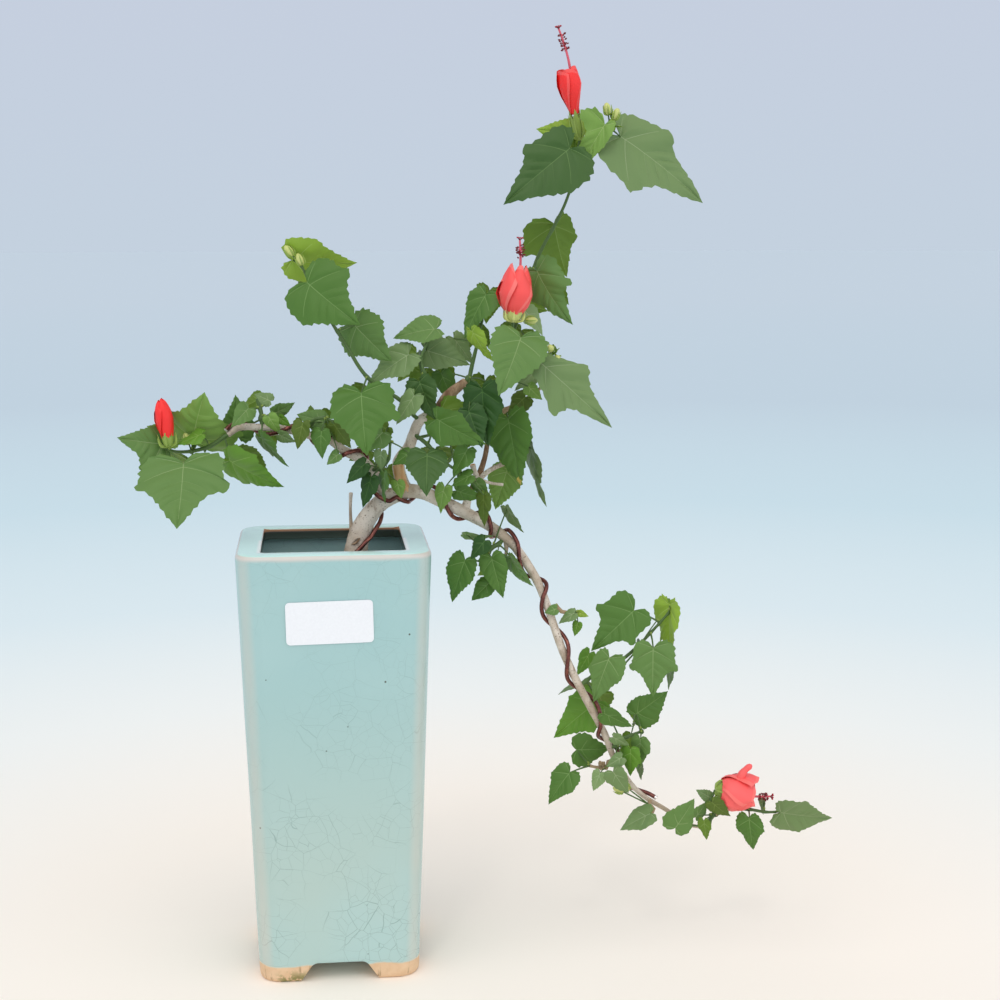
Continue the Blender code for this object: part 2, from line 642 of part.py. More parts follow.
def grow_leaves(name, spec, nodes, space, rng):
    """The blades and stalks of one mass, the front ones first and then those behind."""
    parts = []
    for leaf in spec["leaves"]:
        placed = place_leaf(name, leaf, nodes, space)
        if not placed:
            placed = place_leaf(name, leaf, nodes, space, own_parts(name))
        if not placed:
            print(f"{name}: no room for leaf {leaf}")
        parts += placed
    behind = back_leaves(spec["leaves"], spec.get("alone", ()), rng)
    if len(behind) >= BACK_TWIG_MIN:
        twig = back_twig(behind, nodes)
        solid = tube_data(twig, TWIG_ROUND)
        if not space.hits(*tube_data(twig[1:], TWIG_ROUND, GAP), ignore=(name,)):
            space.add(name, *solid)
            parts.append(solid)
            nodes = np.vstack([nodes, twig[1:]])
    for leaf in behind:
        parts += place_leaf(name, leaf, nodes, space)
    return parts


def back_twig(behind, nodes):
    """A twig from the stem towards the middle of the leaves behind it."""
    across, up, depth = (float(np.mean([leaf[k] for leaf in behind])) for k in (0, 1, 6))
    tip = place(across, depth - BACK_TWIG_SHORT, up)
    root = Vector(nodes[nearest_on(nodes, tip), :3])
    thick, thin = (radius * MM for radius in STEM_RADIUS)
    bend = root.lerp(tip, 0.5) + Vector((0, 0, BACK_TWIG_RISE * (tip - root).length))
    return np.array([[*root, BACK_TWIG_TAPER * thick], [*bend, thin], [*tip, thin]])


def place_leaf(name, leaf, nodes, space, touching=()):
    """Blade and stalk at the first depth where they are clear of everything else."""
    across, up, heading, length, lean, turn, depth = leaf
    own = own_parts(name)
    for nudge, twist in itertools.product(NUDGES, TWISTS):
        frame = blade_frame(heading, lean, turn + twist)
        foot = place(across, depth + nudge, up)
        if space.hits(*leaf_data(foot, frame, length, GAP), ignore=touching):
            continue
        end = foot + frame[0] * (STALK_SUNK * length * MM)
        for index in nearest_nodes(nodes, foot, 3):
            root = Vector(nodes[index, :3])
            if space.hits(*stalk_data(root, end, GAP), ignore=own):
                continue
            blade = leaf_data(foot, frame, length)
            stalk = stalk_data(root, end)
            space.add(own[1], *blade)
            space.add(own[2], *stalk)
            return [blade, stalk]
    return []


def path_lengths(path):
    return np.concatenate([[0], np.cumsum(np.linalg.norm(np.diff(path[:, :3], axis=0), axis=1))])


def along(path, lengths, distance):
    return np.array([np.interp(distance, lengths, path[:, k]) for k in range(path.shape[1])])


def wind(path, marks):
    """A wire wound round a limb: its turns between two marks grow evenly along the limb."""
    lengths = path_lengths(path)
    places, turns = zip(*marks)
    fine = []
    for distance in np.arange(places[0] * MM, min(places[-1] * MM, lengths[-1]), WIRE_FINE):
        centre = along(path, lengths, distance)
        ahead = along(path, lengths, distance + WIRE_REACH)
        tangent = Vector((ahead - along(path, lengths, distance - WIRE_REACH))[:3]).normalized()
        front = (TO_FRONT - tangent * TO_FRONT.dot(tangent)).normalized()
        angle = math.tau * np.interp(distance / MM, places, turns)
        out = front * math.cos(angle) + front.cross(tangent) * math.sin(angle)
        away = centre[3] + WIRE_RADIUS + WIRE_CLEAR
        fine.append([*(Vector(centre[:3]) + out * away), WIRE_RADIUS])
    fine = np.array(fine)
    lengths = path_lengths(fine)
    stations = np.linspace(0, lengths[-1], round(lengths[-1] / WIRE_STEP))
    return np.array([along(fine, lengths, station) for station in stations])


# ---------------------------------------------------------------- pot
def square_prism(name, low_half, low_z, high_half, high_z, radius, top_round=0.0):
    """An upright square frustum with rounded corners, as a mesh."""
    bm = bmesh.new()
    bmesh.ops.create_cube(bm, size=2.0)
    for vert in bm.verts:
        half, z = (high_half, high_z) if vert.co.z > 0 else (low_half, low_z)
        vert.co = Vector((vert.co.x * half, vert.co.y * half, z))
    if radius:
        upright = [edge for edge in bm.edges
                   if abs(edge.verts[0].co.z - edge.verts[1].co.z) > 0.5 * (high_z - low_z)]
        bmesh.ops.bevel(bm, geom=upright, offset=radius, segments=CORNER_STEPS, affect="EDGES",
                        profile=0.5)
    if top_round:
        rim = [edge for edge in bm.edges
               if min(vert.co.z for vert in edge.verts) > high_z - WELD]
        bmesh.ops.bevel(bm, geom=rim, offset=top_round, segments=RIM_STEPS, affect="EDGES",
                        profile=0.5)
    return mesh_from(name, bm)


def half_width(z):
    """Half the pot's outer width at a height."""
    return 0.5 * (FOOT_WIDTH + (RIM_WIDTH - FOOT_WIDTH) * z / POT_HEIGHT)


def cutter(name, mesh, collection):
    obj = add_object(name, mesh, collection)
    obj.hide_render = True
    obj.display_type = "WIRE"
    return obj


def arch_cutter(name, turn, collection):
    """A bar of trapezoid section under the pot, which leaves feet at its corners."""
    bm = bmesh.new()
    bmesh.ops.create_cube(bm, size=2.0)
    low_width = ARCH_BOTTOM + ARCH_BELOW * (ARCH_BOTTOM - ARCH_TOP)
    for vert in bm.verts:
        width, z = (ARCH_TOP, ARCH_HEIGHT) if vert.co.z > 0 else (low_width, -ARCH_BELOW * ARCH_HEIGHT)
        vert.co = Vector((vert.co.x * 0.5 * width, vert.co.y * RIM_WIDTH, z))
    bmesh.ops.rotate(bm, verts=bm.verts, matrix=Matrix.Rotation(turn, 3, "Z"))
    return cutter(name, mesh_from(name, bm), collection)


def build_pot(collection, cutters, glaze):
    pot = add_object("pot", square_prism("pot", 0.5 * FOOT_WIDTH, 0.0, 0.5 * RIM_WIDTH, POT_HEIGHT,
                                         CORNER_RADIUS, RIM_ROUND), collection, glaze)
    lip_under = POT_HEIGHT - LIP_DEPTH
    inside = square_prism("cavity_cutter", half_width(FLOOR_TOP) - WALL, FLOOR_TOP,
                          half_width(lip_under) - WALL, lip_under, CORNER_RADIUS - WALL)
    mouth = square_prism("mouth_cutter", 0.5 * MOUTH_WIDTH, lip_under - CUT_OVER,
                         0.5 * MOUTH_WIDTH, POT_HEIGHT + CUT_OVER, MOUTH_RADIUS)
    drain_depth = FLOOR_TOP - ARCH_HEIGHT + 2 * CUT_OVER
    drain_middle = Matrix.Translation((0, 0, 0.5 * (FLOOR_TOP + ARCH_HEIGHT)))
    bm = bmesh.new()
    bmesh.ops.create_cone(bm, cap_ends=True, segments=DRAIN_SIDES, radius1=DRAIN_RADIUS,
                          radius2=DRAIN_RADIUS, depth=drain_depth, matrix=drain_middle)
    tools = [cutter("cavity_cutter", inside, cutters), cutter("mouth_cutter", mouth, cutters),
             arch_cutter("arch_cutter_x", 0.0, cutters),
             arch_cutter("arch_cutter_y", math.pi / 2, cutters),
             cutter("drain_cutter", mesh_from("drain_cutter", bm), cutters)]
    for tool in tools:
        cut = pot.modifiers.new(tool.name, "BOOLEAN")
        cut.operation = "DIFFERENCE"
        cut.solver = "EXACT"
        cut.object = tool
    pot.modifiers.new("triangles", "TRIANGULATE")
    return pot


def build_soil(collection, earth):
    low, high = FLOOR_TOP + GAP, SOIL_LEVEL
    mesh = square_prism("soil", half_width(low) - WALL - GAP, low, half_width(high) - WALL - GAP,
                        high, CORNER_RADIUS - WALL)
    return add_object("soil", mesh, collection, earth)


def build_label(collection, paper):
    """The blank sticker, square on the sloping front wall."""
    bm = bmesh.new()
    bmesh.ops.create_cube(bm, size=1.0)
    for vert in bm.verts:
        vert.co = Vector([c * s for c, s in zip(vert.co, LABEL_SIZE)])
    slope = math.atan2(0.5 * (RIM_WIDTH - FOOT_WIDTH), POT_HEIGHT)
    front = half_width(LABEL_HEIGHT) + (0.5 * LABEL_SIZE[1] + GAP) / math.cos(slope)
    label = add_object("label", mesh_from("label", bm), collection, paper)
    label.location = (LABEL_ACROSS, -front, LABEL_HEIGHT)
    label.rotation_euler = (slope, LABEL_TURN, 0)
    return label


# ---------------------------------------------------------------- assembly
def ground_data():
    """A block just above the soil, which cuts the trunk's foot flat."""
    bm = bmesh.new()
    middle = Matrix.Translation((0, 0, SOIL_LEVEL + GAP - 0.5 * MOUTH_WIDTH))
    bmesh.ops.create_cube(bm, size=MOUTH_WIDTH, matrix=middle)
    return mesh_data(bm)


def build_limb(name, path, carriers, stubs, collection, mat, space):
    """One tapering limb, cut to sit just clear of what carries it."""
    verts, faces = tube_data(path, LIMB_ROUND)
    limb = add_object(name, data_mesh(name, verts, faces), collection, mat)
    combine(limb, carriers, "DIFFERENCE")
    if stubs:
        combine(limb, [tube_data(stub, STEM_ROUND) for stub in stubs], "UNION")
    mesh = limb.data
    faces = [list(polygon.vertices) for polygon in mesh.polygons]
    space.add(name, [vert.co.copy() for vert in mesh.vertices], faces)


def centre_on_floor(objects, tools):
    """Stand the middle of the whole plant's box on the origin; the pot's cutters move along."""
    bpy.context.view_layer.update()
    corners = np.array([obj.matrix_world @ Vector(c) for obj in objects for c in obj.bound_box])
    middle = 0.5 * (corners.min(axis=0) + corners.max(axis=0))
    for obj in objects + tools:
        obj.location.x -= middle[0]
        obj.location.y -= middle[1]


def main():
    clear_scene()
    plant = bpy.data.collections.new("turks_cap_bonsai")
    cutters = bpy.data.collections.new("cutters")
    for collection in (plant, cutters):
        bpy.context.scene.collection.children.link(collection)
    glaze = material("glaze", (0.46, 0.66, 0.62), 0.22)
    earth = material("earth", (0.10, 0.07, 0.05), 0.95)
    paper = material("paper", (0.85, 0.85, 0.84), 0.6)
    bark = material("bark", (0.52, 0.44, 0.36), 0.8)
    copper = material("copper", (0.35, 0.12, 0.08), 0.35, 1.0)
    leaf_green = material("leaf_green", (0.10, 0.22, 0.05), 0.5)

    build_pot(plant, cutters, glaze)
    build_soil(plant, earth)
    build_label(plant, paper)

    space = Space()
    paths = {name: smooth_path(knots, LIMB_STEP) for name, knots in (
        ("trunk", TRUNK), ("left_bough", LEFT_BOUGH), ("crown_bough", CROWN_BOUGH),
        ("cascade_bough_upper", CASCADE_UPPER), ("cascade_bough_lower", CASCADE_LOWER),
        ("top_bough", TOP_BOUGH))}
    limb_plan = (
        ("trunk", ("soil",), [TRUNK_STUB]),
        ("cascade_bough_upper", ("trunk",), [CASCADE_STUB]),
        ("cascade_bough_lower", ("cascade_bough_upper",), []),
        ("crown_bough", ("trunk", "cascade_bough_upper"), [CROWN_STUB]),
        ("left_bough", ("trunk",), []),
        ("top_bough", ("cascade_bough_upper",), TOP_STUBS),
    )
    for name, carriers, stubs in limb_plan:
        seats = [ground_data() if carrier == "soil" else tube_data(paths[carrier], LIMB_ROUND, GAP)
                 for carrier in carriers]
        stub_paths = [smooth_path(stub, LIMB_STEP) for stub in stubs]
        build_limb(name, paths[name], seats, stub_paths, plant, bark, space)

    inward = paths["left_bough"][:1:-1]
    outward = np.vstack([paths["trunk"][-1:], paths["cascade_bough_upper"][1:],
                         paths["cascade_bough_lower"][1:]])
    fork = smooth_path(WIRE_FORK, LIMB_STEP)
    long_route = np.vstack([inward, fork, outward])
    fork_mark = path_lengths(np.vstack([inward, fork]))[-1] / MM
    long_marks = LEFT_WIRE_TURNS + [(fork_mark + mark, turn) for mark, turn in CASCADE_WIRE_TURNS]
    for name, route, marks in (("wire_trunk", paths["trunk"], TRUNK_WIRE_TURNS),
                               ("wire_boughs", long_route, long_marks)):
        verts, faces = tube_data(wind(route, marks), STEM_ROUND)
        hit = space.hits(verts, faces)
        if hit:
            print(f"{name} meets {hit}")
        add_object(name, data_mesh(name, verts, faces), plant, copper)
        space.add(name, verts, faces)

    grown = {name: grow_stems(name, spec, paths[spec["limb"]], space)
             for name, spec in MASSES.items()}
    for index, (name, spec) in enumerate(MASSES.items()):
        nodes, (stem, *parts) = grown[name]
        parts += grow_leaves(name, spec, nodes, space, random.Random(SEED + index))
        mass = add_object(name, data_mesh(name, *stem), plant, leaf_green)
        combine(mass, parts, "UNION")

    centre_on_floor(list(plant.objects), list(cutters.objects))


main()
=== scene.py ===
"""Looks of the cascading turk's cap bonsai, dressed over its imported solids.

Each mass of foliage is grown again by the rule that made its solid, in the same places,
and carried on to toothed leaves with veins, finer stalks, buds and open flowers. The
limbs and the wire get finer meshes with the bark's relief, and the pot its glaze.

Plant sizes are in millimetres, as (across, depth, up): across to the right and up from
the floor, both in the plant's front elevation, and depth away from its front.
"""

import functools
import itertools
import json
import math
import random

import bmesh
import bpy
import numpy as np
from mathutils import Matrix, Vector, noise
from mathutils.bvhtree import BVHTree

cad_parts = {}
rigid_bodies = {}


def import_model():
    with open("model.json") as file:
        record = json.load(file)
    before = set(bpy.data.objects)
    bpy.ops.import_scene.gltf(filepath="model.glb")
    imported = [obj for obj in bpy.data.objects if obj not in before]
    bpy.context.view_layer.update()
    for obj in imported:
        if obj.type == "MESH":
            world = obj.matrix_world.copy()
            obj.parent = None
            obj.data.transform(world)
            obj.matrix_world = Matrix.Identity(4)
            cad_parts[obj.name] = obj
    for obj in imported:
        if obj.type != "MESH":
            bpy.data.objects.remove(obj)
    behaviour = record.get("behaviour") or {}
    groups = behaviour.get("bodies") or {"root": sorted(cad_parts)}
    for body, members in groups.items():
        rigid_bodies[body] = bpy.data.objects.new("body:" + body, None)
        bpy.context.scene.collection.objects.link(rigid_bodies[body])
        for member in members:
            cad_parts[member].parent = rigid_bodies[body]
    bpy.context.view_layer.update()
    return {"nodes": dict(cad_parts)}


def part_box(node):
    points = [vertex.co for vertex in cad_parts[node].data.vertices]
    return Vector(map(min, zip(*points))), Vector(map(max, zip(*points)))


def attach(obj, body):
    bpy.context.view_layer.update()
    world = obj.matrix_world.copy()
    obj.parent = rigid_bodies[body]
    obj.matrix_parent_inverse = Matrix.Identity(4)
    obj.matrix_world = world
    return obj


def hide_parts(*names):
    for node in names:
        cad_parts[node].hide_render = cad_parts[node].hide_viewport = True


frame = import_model()

MM = 0.001
GAP = 0.3 * MM
SEED = 11

POT_LOW, POT_HIGH = (Vector(corner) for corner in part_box("pot"))
CENTRE = Vector((0.5 * (POT_LOW.x + POT_HIGH.x), 0.5 * (POT_LOW.y + POT_HIGH.y), 0.0))
SOIL_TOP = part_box("soil")[1][2]
PLANT_TURN = math.radians(-6)     # the plant's front against the pot's front

# ---------------------------------------------------------------- pot
POT_HEIGHT = 258 * MM
RIM_WIDTH = 113 * MM
FOOT_WIDTH = 95 * MM
CORNER_RADIUS = 14 * MM
CORNER_SEGMENTS = 12
MOUTH_WIDTH = 83 * MM
MOUTH_RADIUS = 4 * MM
LIP_DEPTH = 7 * MM
WALL = 8 * MM
ARCH_HEIGHT = 11.5 * MM
ARCH_BOTTOM = 47 * MM
ARCH_TOP = 31 * MM
FLOOR_TOP = 20 * MM
DRAIN_RADIUS = 7 * MM
GLAZE_END = 10 * MM               # where the glaze stops above the feet

LABEL_SIZE = (50 * MM, 0.4 * MM, 25 * MM)
LABEL_HEIGHT = 219 * MM
LABEL_ACROSS = -3 * MM
LABEL_TURN = math.radians(-1)
LABEL_ROUND = 2.4 * MM            # its corners
LABEL_SEGMENTS = 8                # in each corner

# ---------------------------------------------------------------- plant
# Limbs, from the foot up: across, depth, up, radius.
TRUNK = [(12, 0, 229, 10.0), (12.6, 0, 237, 8.1), (14, 0, 250, 7.0), (16, 0, 260, 6.3),
         (20, 0, 269, 5.8), (26, 0, 277, 5.2), (34, 0, 283, 4.9), (45, 0, 287, 4.7)]
TRUNK_STUB = [(12, 2, 256, 2.0), (10.8, 4, 267, 1.1), (10.6, 4, 276, 0.9), (11, 4, 285, 1.2)]
LEFT_BOUGH = [(33, 1, 282, 3.6), (29, -1, 291, 3.3), (24, -4, 300, 3.2), (16, -6, 308, 2.9),
              (8, -6, 312, 2.7), (0, -5, 318, 2.4), (-14, -2, 321, 2.3), (-27, 0, 324, 2.2),
              (-41, 2, 325, 2.1), (-54, 2, 325, 2.0), (-61, 0, 321, 1.8)]
CROWN_BOUGH = [(44, 0, 286, 4.0), (41, 1, 295, 3.8), (40, 1, 304, 3.7), (46, 0, 313, 3.4),
               (53, -1, 329, 3.0), (63, -1, 335, 3.2), (70, 0, 344, 3.3), (80, 2, 352, 2.4)]
CROWN_STUB = [(55, -1, 329, 1.6), (57, -3, 334, 1.0), (58, -4, 338, 1.0)]
CASCADE_UPPER = [(45.4, 0, 287.1, 4.2), (54, 0, 286, 4.1), (73, 0, 277, 3.7), (85, -1, 271, 3.5),
                 (97, -2, 264, 3.1), (109, -3, 254, 2.9)]
CASCADE_STUB = [(104, -2, 257, 1.5), (104, -3, 251, 1.0), (103.5, -3, 247, 0.9)]
CASCADE_LOWER = [(109.2, -3, 253.7, 2.8), (121, -6, 236, 2.6), (129, -9, 217, 2.4),
                 (136, -10, 196, 2.4), (144, -9, 177, 2.4), (155, -6, 155, 2.3),
                 (164, -2, 137, 2.1), (170, 0, 121, 1.8), (181, 2, 104, 1.6),
                 (192, 4, 94, 1.45), (202, 4, 88, 1.3), (216, 2, 79, 1.15), (225, 0, 78, 1.0)]
TOP_BOUGH = [(79, 1, 274, 2.3), (82, 3, 284, 2.1), (87, 5, 294, 1.9), (91, 8, 305, 1.6),
             (93, 10, 316, 1.5), (97, 16, 340, 1.35), (103, 22, 363, 1.2)]
TOP_STUBS = [
    [(87, 5, 293, 1.6), (95, 5, 299, 1.4), (104, 5, 303, 1.3)],
    [(87, 5, 293, 1.2), (95, 4, 291, 0.8), (102, 4, 290, 0.9)],
    [(87, 5, 294, 1.6), (85, 4, 298, 1.5), (84, 3, 302, 1.7)],
]
LIMBS = {"trunk": TRUNK, "cascade_bough_upper": CASCADE_UPPER, "cascade_bough_lower": CASCADE_LOWER,
         "crown_bough": CROWN_BOUGH, "left_bough": LEFT_BOUGH, "top_bough": TOP_BOUGH}

# Training wire: its turns round the limbs, as (mm along the limbs, turns). A whole turn
# is at the front. The long one runs in from the left bough's end and out along the cascade.
WIRE_RADIUS = 1.3 * MM
WIRE_CLEAR = 0.55 * MM
WIRE_FINE = 0.25 * MM             # spacing of the turns' points, before WIRE_SMOOTH thins them out
WIRE_REACH = 2 * MM               # either side of a point, for the limb's direction there
TRUNK_WIRE_TURNS = [(5.2, 0.04), (22, 0.0), (35, -0.17), (44, -0.25), (56, -0.5)]
LEFT_WIRE_TURNS = [(0, 0.15), (4, 0.25), (23, 0.75), (36, 1.0), (61, 2.0), (76, 3.0), (100, 3.8)]
WIRE_FORK = [(31, -1, 288, 5.0), (35, 0, 284, 5.6), (39, 0, 284.5, 5.4)]   # across the fork
CASCADE_WIRE_TURNS = [(0, 4.0), (21, 3.25), (41, 2.75), (62, 2.0), (71, 1.28), (97, 0.74), (114, 0.0),
                      (156, -1.0), (202, -2.0), (231, -3.0), (266, -3.75)]

LIMB_STEP = 9 * MM                # spacing of the sections of limbs and stems
STEM_SIDES = 6                    # of the tubes that keep the room of stems and flowers,
TWIG_SIDES = 4                    # of a twig behind
STALK_SIDES = 3                   # and of a stalk
STEM_RADIUS = (1.25, 0.75)        # mm, at a mass's foot and at its tips
STEM_COLLAR = 2.5 * MM            # the stretch that stands square off the limb
STALK_RADIUS = (0.75, 0.34)       # mm, at the stem and in the blade

# A leaf blade's half outline, as (half width, distance from the stalk) over its length.
LEAF_HALF = [(0.0, 0.05), (0.24, -0.08), (0.42, 0.15), (0.32, 0.52), (0.0, 1.0)]
LEAF_RIB = 0.40                   # how far along its rib a blade is thickest
LEAF_THICKNESS = 0.032            # over its length, there
LEAF_FOLD = 0.10                  # how far the blade's sides lift, over half its width
LEAF_DROOP = 0.10                 # how far its tip falls, over its length
NUDGES = (0, -3, 3, -6, 6, -10, 10, -14, 14, -19, 19, 24)   # mm of depth tried for a leaf
TWISTS = (0, 12, -12, 24)         # degrees of further turn tried at each depth
STALK_SUNK = 0.28                 # how far a stalk reaches into its blade, over its length
BACK_SHARE = 0.7                  # leaves that have another one behind them
BACK_MIN_LENGTH = 16              # mm
BACK_DEPTH = (20, 56)             # mm further from the front
BACK_SHIFT = (-3, 3)              # mm
BACK_HEADING = (-30, 30)          # degrees
BACK_LEAN = (-35, 10)             # degrees, beside the front leaf's lean turned round
BACK_LEAN_SHARE = -0.6
BACK_TURN = (145, 215)            # degrees
BACK_SIZE = (0.72, 0.92)          # over the front leaf's length
BACK_TWIG_MIN = 2                 # leaves behind that call for a twig to carry them
BACK_TWIG_SHORT = 6               # mm, how far that twig stops before their middle
BACK_TWIG_RISE = 0.12             # how high it arches, over its length
BACK_TWIG_TAPER = 0.9             # its radius at its root, over the stem's


def mass(limb, stems, leaves, tones, looks=None, alone=(), flowers=(), buds=(), woody=False,
         sprout=None, scales=None):
    """A mass of foliage on a limb.

    stems: knots (across, depth, up); the first stem grows from the limb, the others from it.
    leaves: blades in growth order, each as the place of its stalk's end (across, up), heading,
    length, lean towards the front, turn about its own rib, and depth. tones: their greens in the
    same order, each partly the leaf's own green and partly painted light and shade, lighter or
    darker for where the leaf hangs; a leaf past the last one, and those behind, take any of them.
    looks: how single ones differ, by number, in leaf_look's words.
    alone: the leaves that never have another one behind them.
    flowers: foot (across, depth, up), heading, length, girth and form. buds: centres.
    woody: the stems have bark. sprout: the number of the stem with a growing tip, where the
    twig behind counts last. scales: the middle of a cluster of dry bud scales.
    """
    return dict(limb=limb, stems=stems, leaves=leaves, tones=tones.split(), looks=looks or {},
                alone=alone, flowers=flowers, buds=buds, woody=woody, sprout=sprout, scales=scales)
